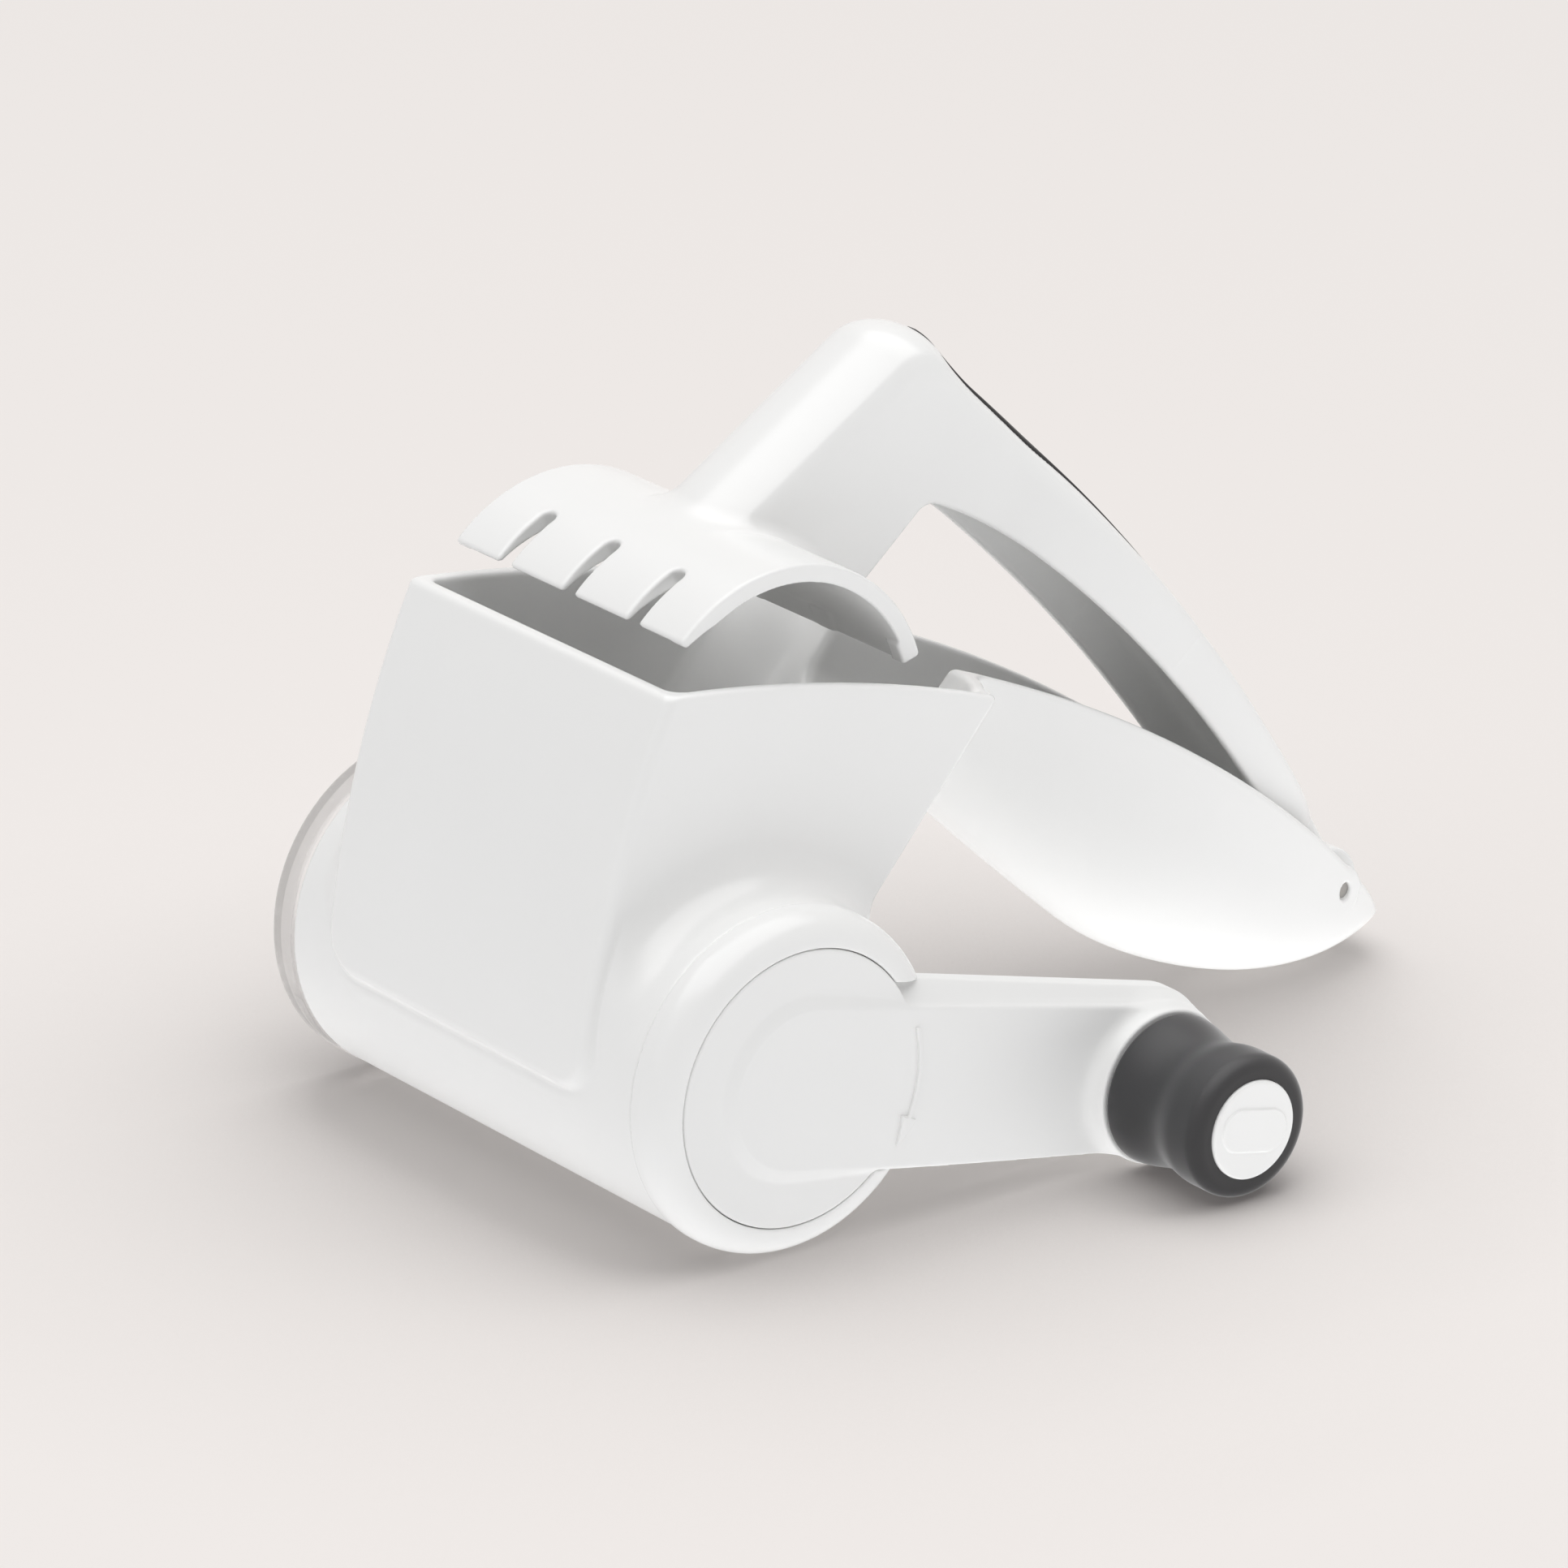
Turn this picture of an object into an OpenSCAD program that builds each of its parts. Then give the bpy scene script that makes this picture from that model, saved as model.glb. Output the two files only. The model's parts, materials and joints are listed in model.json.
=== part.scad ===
// Rotary cheese grater: a moulded hopper body with a trough handle, a hinged press arm,
// a perforated drum and a crank with a spinning knob. Millimetres, +Z up, +X towards the
// handle's tail. The drum turns about the Y axis and its open mouth is at the origin.

/* [Barrel] */
// Outside radius of the barrel
barrel_r = 30.3; // [29.5:0.1:31.5]
// Wall of the barrel
barrel_wall = 2.1; // [1.8:0.1:2.6]
// Length of the barrel from the crank to the mouth ring
barrel_l = 98; // [94:1:110]
// Radius of the fillet between the hopper's sides and the barrel's collars
collar_fillet = 8; // [4:0.5:9]

/* [Hopper] */
// Width of the hopper over its side walls
hopper_w = 75.2; // [72:0.2:78]
// Wall of the hopper's sides and front
hopper_wall = 2.2; // [1.6:0.1:2.6]
// Wall of the hopper's back
back_wall = 2.2; // [1.6:0.1:2.4]
// Distance of the front wall's outside from the hinge
front_r = 192.2; // [192:0.1:194]
// Slope of the back wall above the horizontal
back_deg = 50.3; // [48:0.1:53]
// Distance of the back wall's outside from the barrel's axis
back_off = 10; // [9.8:0.1:12]
// Height of the rim over the barrel's axis
rim_h = 65.9; // [62:0.1:67]
// Fall of the rim over the barrel's axis, below the horizontal
rim_fall_deg = 7.3; // [6.4:0.1:7.6]
// Radius of the long arc from the front rim to the handle's tail
rim_r = 293; // [288:1:300]
// Radius of the front panel's lower corners
panel_corner = 8; // [4:0.5:12]
// Radius of the hopper's upright front edges
edge_r = 2; // [1:0.25:3]

/* [Handle] */
// Width of the handle at its widest
handle_w = 37.6; // [36:0.2:40]
// Wall of the handle's trough
trough_wall = 2.3; // [1.8:0.1:2.6]
// Distance of the handle's tail from the barrel's axis
tail_x = 176.3; // [175:0.1:179]
// Distance of the handle's lowest point from the barrel's axis
belly_x = 157; // [154:0.5:158]
// Radius of the handle's underside
belly_r = 83; // [78:1:88]
// Slope of the handle's underside by the hopper
belly_deg = 40.5; // [39:0.1:42]
// Radius of the underside's rise to the tail
tail_r = 27; // [25:0.5:30]
// Distance of the hinge behind the barrel's axis
hinge_x = 159.7; // [158.5:0.1:161]
// Distance of the hinge below the barrel's axis
hinge_drop = 13.4; // [12.5:0.1:14]
// Radius of the hinge pin
pin_r = 1.6; // [1.3:0.05:2]
// Radius of the bosses that hold the pin inside the trough
pin_boss_r = 4.5; // [3.5:0.1:5]

/* [Press arm] */
// Angle by which the arm stands open
lift_deg = 19.5; // [10:0.5:24]
// Width of the arm's upright stem
stem_w = 22; // [20:0.2:24]
// Width of the arm at its widest
arm_w = 31; // [28:0.2:31.4]
// Wall of the arm's channel
arm_wall = 2.2; // [1.6:0.1:2.6]
// Depth of the arm behind its bend
arm_depth = 14.5; // [13:0.1:15]
// Height by which the closed arm stands over the handle at the thumb dip
arm_proud = 5; // [3:0.1:5.4]
// Outside radius of the arm's bend
bend_r = 11.3; // [9:0.1:13]
// Slope of the stem's front
stem_deg = 52.7; // [51:0.1:54]
// Crown of the stem's rounded front
stem_crown = 4.5; // [3:0.1:5.5]
// Radius of the hinge eye
eye_r = 7.4; // [6.5:0.1:7.8]
// Width of the hinge eye
eye_w = 16.4; // [14:0.2:16.6]
// Distance by which the arched press plate stands outside the barrel's radius
plate_lift = 0.6; // [0.2:0.1:0.9]
// Thickness of the press plate
plate_t = 3.8; // [2.6:0.1:3.9]
// Width of the press plate
plate_w = 64.4; // [60:0.2:66]
// Angle of the plate's back edge with the arm closed
plate_back_deg = 37; // [36.5:0.5:45]
// Angle of the plate's toothed front edge with the arm closed
plate_front_deg = 155; // [150:0.5:155]
// Angle at which the plate's slots end
slot_top_deg = 134.5; // [128:0.5:140]
// Width of a slot in the plate
slot_w = 3.3; // [2.4:0.1:4]
// Number of slots in the plate
slots = 3; // [1:1:5]

/* [Grip] */
// Width of the soft strip on the arm
grip_w = 17; // [10:0.5:18]
// Thickness of the soft strip
grip_t = 1.3; // [1:0.1:1.6]
// Height of the strip over the arm
grip_proud = 0.35; // [0.2:0.05:0.6]

/* [Drum] */
// Gap between the steel drum and the barrel's bore
drum_gap = 2.4; // [2.3:0.1:2.9]
// Thickness of the drum's steel
drum_t = 0.6; // [0.4:0.1:0.8]
// Radius of a grating hole
hole_r = 1.7; // [1.2:0.1:2]
// Height of the teeth raised behind the holes, before the holes cut them
tooth_h = 1.4; // [0.8:0.1:1.6]
// Number of holes in a row round the drum
holes_round = 18; // [10:2:20]
// Number of rows along the drum
hole_rows = 11; // [5:2:11]
// Distance by which the mouth ring stands out of the barrel
mouth_out = 6.6; // [5:0.1:8]
// Height of the step from the drum's steel to the ring's open mouth
mouth_step = 1; // [0.7:0.1:2]
// Width over the flats of the drive shaft
drive_af = 12; // [10:0.5:14]

/* [Crank] */
// Depth of the crank's round rim
rim_depth = 7.4; // [6.6:0.1:8]
// Width of the rounded band between the barrel's radius and the crank's flat disc
band_w = 5.5; // [4.9:0.1:6.8]
// Distance from the crank's axis to the knob's
crank_l = 79.1; // [70:0.5:84]
// Angle of the crank below the horizontal
crank_deg = 12; // [6:0.5:12]
// Width of the crank's back by the rim
crank_w = 34.6; // [33:0.2:37]
// Width of the crank's back by the knob
crank_end_w = 29.8; // [29.2:0.2:32]
// Rise of the crank's back over the crank's middle line
crank_rise = 0.8; // [0:0.1:1]
// Width of the crank's raised face by the rim
face_w = 29.6; // [26:0.2:31]
// Width of the crank's raised face by the knob
face_end_w = 27.6; // [24:0.2:28]
// Height of the raised face over the disc
face_t = 0.8; // [0.5:0.1:1.2]

/* [Knob] */
// Radius of the knob at its base
knob_r = 13.7; // [12.5:0.1:14]
// Radius of the knob's waist
waist_r = 11.7; // [10.2:0.1:12]
// Radius of the knob's rounded end
knob_end_r = 12.3; // [11.8:0.1:13]
// Radius of the knob's end cap
cap_r = 9; // [8:0.1:9.6]
// Length of the knob
knob_l = 23.6; // [21:0.2:26]
// Radius of the peg that the knob turns on
peg_r = 4.5; // [3.5:0.1:5]

/* [Hidden] */
$fn = 96;
// Overrun of every cut past the face that it opens
over = 4;
// Gap between pieces that lie together, and between those that turn on each other
seat_gap = 0.1;
run_gap = 0.06;
// Gap between pieces that pass each other
pass_gap = 0.3;
half_l = barrel_l / 2;
mid_y = -(half_l + mouth_out);
bore_r = barrel_r - barrel_wall;
drum_r = bore_r - drum_gap;
mouth_r = drum_r - mouth_step;
plate_r = barrel_r + plate_lift;
disc_r = barrel_r - band_w;
hinge_z = -hinge_drop;
floor_z = -barrel_r;

// Solid through a list of rings, each with the same number of points
module loft(rings) {
    n = len(rings[0]);
    m = len(rings);
    polyhedron(
        points = [for (ring = rings) each ring],
        faces = concat(
            [[for (k = [0 : n - 1]) k]],
            [for (i = [0 : m - 2]) for (k = [0 : n - 1])
                [i * n + k, (i + 1) * n + k, (i + 1) * n + (k + 1) % n]],
            [for (i = [0 : m - 2]) for (k = [0 : n - 1])
                [i * n + k, (i + 1) * n + (k + 1) % n, i * n + (k + 1) % n]],
            [[for (k = [n - 1 : -1 : 0]) (m - 1) * n + k]]));
}

// Revolves a (radius, y) profile about the Y axis
module lathe(angle = 360) {
    mirror([0, 1, 0]) rotate([90, 0, 0]) rotate_extrude(angle = angle) children();
}

// Extrudes an (x, z) outline along Y from y0 to y1
module slab(y0, y1) {
    translate([0, y1, 0]) rotate([90, 0, 0]) linear_extrude(height = y1 - y0) children();
}

// Places what is drawn about the middle of the barrel
module from_mouth() {
    translate([0, mid_y, 0]) children();
}

function mix(a, b, t) = a + (b - a) * t;
function polar(r, deg) = [r * cos(deg), r * sin(deg)];

// Housing

rim_c = [-rim_r * sin(rim_fall_deg), rim_h - rim_r * cos(rim_fall_deg)];
// Height of the line from the front rim to the handle's tail
function rim_z(x) = rim_c[1] + sqrt(rim_r * rim_r - (x - rim_c[0]) * (x - rim_c[0]));

// The handle's underside: a straight slope, the belly's arc and the rise to the tail
slope_x = belly_x - belly_r * sin(belly_deg);
slope_z = floor_z + belly_r * (1 - cos(belly_deg));
root_share = 0.46;
root_x = belly_x * root_share;
root_run = 14;
root_drop = 2;
function under_z(x) =
    x > belly_x ? floor_z + tail_r - sqrt(tail_r * tail_r - (x - belly_x) * (x - belly_x))
    : x > slope_x ? floor_z + belly_r - sqrt(belly_r * belly_r - (belly_x - x) * (belly_x - x))
    : slope_z + (slope_x - x) * tan(belly_deg) - root_drop * pow(max(0, root_x - x) / root_run, 2);

// The handle in plan: a full oval whose middle is at this share of the tail's distance
plan_mid_share = 0.56;
plan_power = 2.3;
plan_mid = tail_x * plan_mid_share;
function oval(u) = pow(max(0, 1 - pow(abs(u), plan_power)), 1 / plan_power);
function handle_half(x) = handle_w / 2 * oval((x - plan_mid) / (tail_x - plan_mid));

// Cross-section of the handle: upright sides over a round bottom that takes this share of its height
round_share = 0.62;
trough_round_share = 0.42;
ring_steps = 12;
function trough_ring(x, half, low, high, share) =
    let (r = share * (high - low))
    concat([[x, -half, high]],
           [for (i = [0 : ring_steps])
            let (a = 180 * i / ring_steps)
            [x, -half * cos(a), low + r * (1 - sin(a))]],
           [[x, half, high]]);

// The handle starts inside the hopper, and its stations close up towards the tail
handle_x0 = back_off * 4;
tip_share = 0.6;
tip_x = tail_x - tip_share * trough_wall;
stations = 22;
close_up = 1.5;
function station(x0, x1, i) = mix(x1, x0, pow(1 - i / stations, close_up));
function top_z(x) = max(rim_z(x), under_z(x) + trough_wall / 4);

module handle_solid() {
    loft([for (i = [0 : stations]) let (x = station(handle_x0, tip_x, i))
          trough_ring(x, handle_half(x), under_z(x), top_z(x), round_share)]);
}

// The trough ends this many walls before the tail
end_walls = 2.2;
trough_end = tail_x - end_walls * trough_wall;
module trough_space() {
    loft([for (i = [0 : stations]) let (x = station(handle_x0 - over, trough_end, i))
          trough_ring(x, handle_half(x) - trough_wall, under_z(x) + trough_wall, rim_z(x) + 2 * over,
                      trough_round_share)]);
}

// Moves to the hinge's axis and back
module about_hinge(deg) {
    translate([hinge_x, 0, hinge_z]) rotate([0, deg, 0]) translate([-hinge_x, 0, -hinge_z]) children();
}

// Everything within a radius of the hinge, as wide as the hopper, with rounded upright edges
module hinge_drum(r, half, corner) {
    translate([hinge_x, 0, hinge_z]) lathe() union() {
        translate([0, -half]) square([r - corner, 2 * half]);
        translate([0, -half + corner]) square([r, 2 * (half - corner)]);
        for (s = [-1, 1]) translate([r - corner, s * (half - corner)]) circle(r = corner);
    }
}

// The (x, z) region under the rim line and in front of the back wall
hopper_reach = 4 * barrel_r;
module back_half(off) {
    rotate(back_deg) translate([-hopper_reach, -off]) square([2 * hopper_reach, 2 * hopper_reach]);
}
module rim_disc(extra) {
    translate(rim_c) circle(r = rim_r + extra);
}
module above(z) {
    translate([-hopper_reach, z]) square([2 * hopper_reach, 2 * hopper_reach]);
}

panel_low = -1;
shoulder_shares = [[0.98, -0.03], [0.66, 0.46], [0.5, 0.84]];
shoulder_out = 10;

module hopper_side() {
    intersection() { rim_disc(0); back_half(back_off); above(panel_low); }
}

// The back wall bulges from the hopper's corners to the handle's sides
module shoulder() {
    half = hopper_w / 2;
    intersection() {
        rotate([0, -back_deg, 0]) translate([-hopper_reach / 4, 0, 0]) rotate([0, 90, 0])
            linear_extrude(height = hopper_reach) polygon(concat(
                [[back_off - over, -half * shoulder_shares[0][0]]],
                [for (p = shoulder_shares) [back_off + shoulder_out * p[1], -half * p[0]]],
                [for (i = [len(shoulder_shares) - 1 : -1 : 0])
                    let (p = shoulder_shares[i])
                    [back_off + shoulder_out * p[1], half * p[0]]],
                [[back_off - over, half * shoulder_shares[0][0]]]));
        slab(-half, half) intersection() { rim_disc(0); above(bore_r / 2); }
    }
}

module hopper_solid() {
    half = hopper_w / 2;
    intersection() {
        hinge_drum(front_r, half, edge_r);
        slab(-half, half) hopper_side();
        // Rounded lower corners of the front panel
        translate([-hopper_reach, 0, 0]) rotate([90, 0, 90]) linear_extrude(height = 2 * hopper_reach) {
            translate([-half, panel_low + panel_corner]) square([hopper_w, hopper_reach]);
            translate([-half + panel_corner, panel_low]) square([hopper_w - 2 * panel_corner, hopper_reach]);
            for (s = [-1, 1]) translate([s * (half - panel_corner), panel_low + panel_corner])
                circle(r = panel_corner);
        }
    }
}

// Height of the front panel over the collars
panel_proud = 1.8;

// Collars on both sides, with a fillet up the hopper's side walls
module collars() {
    half = hopper_w / 2;
    for (s = [0, 1]) mirror([0, s, 0]) intersection() {
        lathe() difference() {
            translate([bore_r, half - hopper_wall])
                square([barrel_wall + collar_fillet, hopper_wall + collar_fillet]);
            translate([barrel_r + collar_fillet, half + collar_fillet]) circle(r = collar_fillet);
        }
        slab(0, half_l) hopper_side();
        hinge_drum(front_r - panel_proud, half_l + edge_r, edge_r);
    }
}

window_low = 11.2;
module hopper_space() {
    half = hopper_w / 2 - hopper_wall;
    intersection() {
        hinge_drum(front_r - hopper_wall, half, edge_r);
        slab(-half, half) intersection() {
            rim_disc(2 * over);
            back_half(back_off - back_wall);
            above(window_low);
        }
    }
}

module housing() {
    pin_half = handle_half(hinge_x);
    boss_from = pin_half - trough_wall / 2;
    color("white") from_mouth() difference() {
        union() {
            difference() {
                union() {
                    slab(-half_l, half_l) circle(r = barrel_r);
                    hopper_solid();
                    shoulder();
                    collars();
                    handle_solid();
                }
                slab(-half_l - over, half_l + over) circle(r = bore_r);
                hopper_space();
                trough_space();
                // Round clearance for the hinge eye
                translate([hinge_x, 0, hinge_z]) rotate([90, 0, 0])
                    cylinder(r = eye_r + pass_gap, h = eye_w + 2 * pass_gap, center = true);
            }
            // Bosses for the hinge pin
            for (s = [0, 1]) mirror([0, s, 0]) translate([hinge_x, boss_from, hinge_z])
                rotate([90, 0, 0]) cylinder(r = pin_boss_r, h = boss_from - eye_w / 2 - pass_gap);
        }
        translate([hinge_x, 0, hinge_z]) rotate([90, 0, 0])
            cylinder(r = pin_r + run_gap / 2, h = 2 * pin_half + over, center = true);
    }
}

// Press arm, drawn closed over the drum and turned up about the hinge

thumb = 3.2;
thumb_x_share = 0.288;
thumb_run = 14;
proud_run_share = 0.69;
proud_power = 2.6;
arm_sink = 0.8;
// Top of the closed arm behind its bend
function arm_top(x) = rim_z(x) - arm_sink
    + arm_proud * pow(max(0, hinge_x - x) / (proud_run_share * hinge_x), proud_power)
    + thumb * pow(max(0, thumb_x_share * hinge_x - x) / thumb_run, 2);
throat_x_share = 0.39;
throat = 2.4;
throat_run = 24;
// The arm grows shallow towards the hinge eye
eye_rise = 3.4;
eye_run = 22;
function arm_low(x) = rim_z(x) - arm_depth
    - throat * pow(max(0, throat_x_share * hinge_x - x) / throat_run, 2)
    + eye_rise * pow(max(0, x - hinge_x + eye_run) / eye_run, 2);

// The bend: an arc from the stem's slope to the slope of the arm's top
bend_x_share = 0.21;
bend_x = bend_x_share * hinge_x;
bend_step = 0.5;
bend_out_deg = -atan((arm_top(bend_x + bend_step) - arm_top(bend_x)) / bend_step);
bend_c = [bend_x, arm_top(bend_x)] - polar(bend_r, 90 - bend_out_deg);
stem_top = bend_c + polar(bend_r, 90 + stem_deg);
stem_l = 50;
stem_foot = stem_top - polar(stem_l, stem_deg);
// The same bend inside
crook_r = 4.2;
crook_lead = 5.2;
crook_x = bend_x + crook_lead;
crook_c = [crook_x, arm_low(crook_x) - crook_r];
crook_from_deg = 150;
crook_to_deg = 98;
crook_top = crook_c + polar(crook_r, crook_from_deg);
// The stem's back wall runs down to the plate's back edge
heel_share = 0.85;
heel = polar(plate_r - heel_share * plate_t, plate_back_deg - 1);

stem_steps = 8;
bend_steps = 8;
back_steps = 20;
// Each station holds the outer point, the inner point, half the width and the crown
eye_web_share = 1.5;
arm_power = 2.3;
arm_mid_share = 0.66;
arm_mid = arm_mid_share * hinge_x;
arm_end_share = eye_w / arm_w;
// It narrows to the eye's width before it reaches the pin's bosses
arm_end = hinge_x - eye_web_share * pin_boss_r;
arm_half_l = (arm_end - arm_mid) / pow(1 - pow(arm_end_share, arm_power), 1 / arm_power);
blend_power = 8;
function arm_oval(u) = pow(max(0, 1 - pow(abs(u), arm_power)), 1 / arm_power);
function arm_half(x) =
    let (least = x < arm_mid ? stem_w / 2 : eye_w / 2, oval = arm_w / 2 * arm_oval((x - arm_mid) / arm_half_l))
    x > arm_end ? least : x < arm_mid ? pow(pow(least, blend_power) + pow(oval, blend_power), 1 / blend_power)
    : max(least, oval);
foot_flare = 3;
foot_share = 0.24;
back_crown_share = 0.75;
function stem_half(t) = stem_w / 2 + foot_flare * pow(max(0, foot_share - t) / foot_share, 2);

function stem_stations(t0) = [for (i = [0 : stem_steps]) let (t = mix(t0, 1, i / stem_steps))
    [mix(stem_foot, stem_top, t), mix(heel, crook_top, t), stem_half(t), stem_crown]];
bend_stations = [for (i = [1 : bend_steps]) let (t = i / bend_steps)
    [bend_c + polar(bend_r, mix(90 + stem_deg, 90 - bend_out_deg, t)),
     crook_c + polar(crook_r, mix(crook_from_deg, crook_to_deg, t)),
     stem_w / 2, mix(stem_crown, back_crown_share * stem_crown, t)]];
lead_power = 1.5;
function back_stations(x1) = [for (i = [1 : back_steps])
    let (x = mix(crook_x, x1, i / back_steps),
         lead = crook_lead * pow(max(0, throat_x_share * hinge_x - x) / throat_run, lead_power))
    [[x - lead, arm_top(x - lead)], [x, arm_low(x)], arm_half(x), back_crown_share * stem_crown]];

// Cross-section of the arm: a crowned channel, as thick as inset leaves it
crown_steps = 8;
function channel_ring(s, inset, extra) =
    let (d = (s[1] - s[0]) / norm(s[1] - s[0]), depth = norm(s[1] - s[0]) + extra, half = s[2] - inset,
         side = inset + s[3],
         at = function (y, t) [s[0][0] + d[0] * t, y, s[0][1] + d[1] * t])
    concat([at(-half, side), at(-half, depth), at(half, depth)],
           [for (i = [0 : crown_steps - 1])
            let (a = 180 * i / crown_steps)
            at(half * cos(a), side - s[3] * sin(a))]);

module arm_solid() {
    loft([for (s = concat(stem_stations(0), bend_stations, back_stations(hinge_x))) channel_ring(s, 0, 0)]);
}
module arm_space() {
    back = back_stations(hinge_x - eye_web_share * eye_r);
    loft([for (s = concat(stem_stations(foot_share), bend_stations, back)) channel_ring(s, arm_wall, over)]);
}

// The plate, with a shallow recess under the arch between its two end ribs
end_rib_w = 3;
recess_t = 0.6;
module plate() {
    rotate([0, -plate_back_deg, 0]) lathe(plate_front_deg - plate_back_deg) difference() {
        translate([plate_r - plate_t, -plate_w / 2]) square([plate_t, plate_w]);
        translate([plate_r - plate_t - over, end_rib_w - plate_w / 2])
            square([over + recess_t, plate_w - 2 * end_rib_w]);
    }
}

// The outer teeth are this much narrower than the inner ones
end_tooth_share = 0.54;
module plate_slots() {
    pitch = plate_w / (slots + end_tooth_share);
    for (i = [0 : slots - 1]) translate([0, (i - (slots - 1) / 2) * pitch, 0]) {
        rotate([0, -slot_top_deg, 0]) lathe(plate_front_deg - slot_top_deg + over)
            translate([plate_r - plate_t - over, -slot_w / 2]) square([plate_t + 2 * over, slot_w]);
        rotate([0, -slot_top_deg, 0]) translate([plate_r - plate_t - over, 0, 0]) rotate([0, 90, 0])
            cylinder(r = slot_w / 2, h = plate_t + 2 * over);
    }
}

// The teeth thin out to blunt tips from inside
tooth_bevel_deg = 18;
tooth_tip = 1.6;
module tooth_bevel() {
    slab(-plate_w / 2 - over, plate_w / 2 + over) polygon([
        polar(plate_r - plate_t, plate_front_deg - tooth_bevel_deg),
        polar(plate_r - tooth_tip, plate_front_deg),
        polar(plate_r - tooth_tip, plate_front_deg + tooth_bevel_deg),
        polar(plate_r - 2 * plate_t, plate_front_deg)]);
}

// The soft strip runs from half-way round the bend to two thirds of the way to the hinge
grip_from = bend_steps / 2;
grip_to = 11;
grip_power = 3;
grip_end_share = 0.02;
grip_lanes = 4;
grip_stations = concat([for (i = [grip_from : bend_steps - 1]) bend_stations[i]],
                       [for (i = [0 : grip_to]) back_stations(hinge_x)[i]]);
function grip_half(t) = grip_w / 2 * sqrt(max(grip_end_share, 1 - pow(abs(2 * t - 1), grip_power)));
function grip_ring(s, t, up, down, spread) =
    let (d = (s[1] - s[0]) / norm(s[1] - s[0]), half = grip_half(t) + spread,
         lanes = [for (i = [0 : grip_lanes]) half * (2 * i / grip_lanes - 1)],
         drop = function (y) s[3] * (1 - sqrt(max(0, 1 - y * y / (s[2] * s[2])))),
         at = function (y, t) [s[0][0] + d[0] * t, y, s[0][1] + d[1] * t])
    concat([for (y = lanes) at(y, drop(y) + down)],
           [for (i = [grip_lanes : -1 : 0]) at(lanes[i], drop(lanes[i]) - up)]);
module grip_solid(up, down, spread) {
    n = len(grip_stations) - 1;
    loft([for (i = [0 : n]) grip_ring(grip_stations[i], i / n, up, down, spread)]);
}

module press_arm() {
    color("white") from_mouth() about_hinge(lift_deg) difference() {
        union() {
            difference() {
                union() {
                    difference() {
                        arm_solid();
                        slab(-plate_w, plate_w) circle(r = plate_r - plate_t / 2);
                    }
                    plate();
                }
                arm_space();
                plate_slots();
                tooth_bevel();
            }
            translate([hinge_x, 0, hinge_z]) rotate([90, 0, 0])
                cylinder(r = eye_r, h = eye_w, center = true);
        }
        grip_solid(over, grip_t + seat_gap - grip_proud, seat_gap);
        translate([hinge_x, 0, hinge_z]) rotate([90, 0, 0])
            cylinder(r = pin_r + run_gap, h = eye_w + over, center = true);
    }
}

module arm_grip() {
    color("#2b2b2b") from_mouth() about_hinge(lift_deg) grip_solid(grip_proud, grip_t - grip_proud, 0);
}

module hinge_pin() {
    pin_l = 2 * handle_half(hinge_x) - trough_wall;
    color("silver") from_mouth() translate([hinge_x, 0, hinge_z]) rotate([90, 0, 0])
        cylinder(r = pin_r, h = pin_l, center = true);
}

// Drum

// The hub's disc lies this deep in the barrel, and the drive reaches on into its socket
hub_depth = 4.6;
hub_t = 3;
drive_reach = 12;
sleeve_l = 5.5;
hub_y = hub_depth - half_l;
drive_y = hub_y + drive_reach;
tube_y0 = hub_y + hub_t + seat_gap;
tube_seat = 1;
tube_y1 = half_l + tube_seat;

// Outline of a row of teeth: each rises towards its hole and stops over the hole's middle
tooth_run_share = 0.55;
tooth_seat_share = 0.75;
function saw(turn) =
    let (pitch = 360 / holes_round, run = tooth_run_share * pitch, low = drum_r - drum_t / 2)
    [for (k = [0 : holes_round - 1]) each
        [polar(low, turn + k * pitch), polar(low, turn + (k + 1) * pitch - run),
         polar(drum_r + tooth_h, turn + (k + 1) * pitch)]];

module drum_tube() {
    pitch = (hopper_w - 2 * hopper_wall) / hole_rows;
    color("silver") from_mouth() difference() {
        union() {
            lathe() translate([drum_r - drum_t, tube_y0]) square([drum_t, tube_y1 - tube_y0]);
            for (i = [0 : hole_rows - 1]) translate([0, (i - (hole_rows - 1) / 2) * pitch, 0])
                slab(-hole_r / 2, hole_r / 2) difference() {
                    polygon(saw((i % 2) / 2 * 360 / holes_round));
                    circle(r = drum_r - tooth_seat_share * drum_t);
                }
        }
        for (i = [0 : hole_rows - 1]) for (k = [0 : holes_round - 1])
            translate([0, (i - (hole_rows - 1) / 2) * pitch, 0])
                rotate([0, -(k + (i % 2) / 2) * 360 / holes_round, 0])
                    translate([drum_r - 2 * drum_t, 0, 0]) rotate([0, 90, 0])
                        cylinder(r = hole_r, h = 3 * drum_t + tooth_h);
    }
}

ring_out = 0.2;
ring_edge = 1.5;
module drum_flange() {
    ring_r = barrel_r + ring_out;
    ring_y = half_l + 2 * seat_gap;
    ring_l = mouth_out - 2 * seat_gap;
    color([0.86, 0.9, 0.92, 0.5]) from_mouth() lathe() difference() {
        union() {
            translate([mouth_r, ring_y]) square([ring_r - mouth_r - ring_edge, ring_l]);
            translate([mouth_r, ring_y]) square([ring_r - mouth_r, ring_l - ring_edge]);
            translate([ring_r - ring_edge, ring_y + ring_l - ring_edge]) circle(r = ring_edge);
            translate([mouth_r, half_l - sleeve_l])
                square([bore_r - run_gap - mouth_r, sleeve_l + tube_seat]);
        }
        square([drum_r + seat_gap / 2, tube_y1 + seat_gap / 2]);
    }
}

// Radius over the corners of the drive's six sides
function drive_r(af) = af / sqrt(3);

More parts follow.
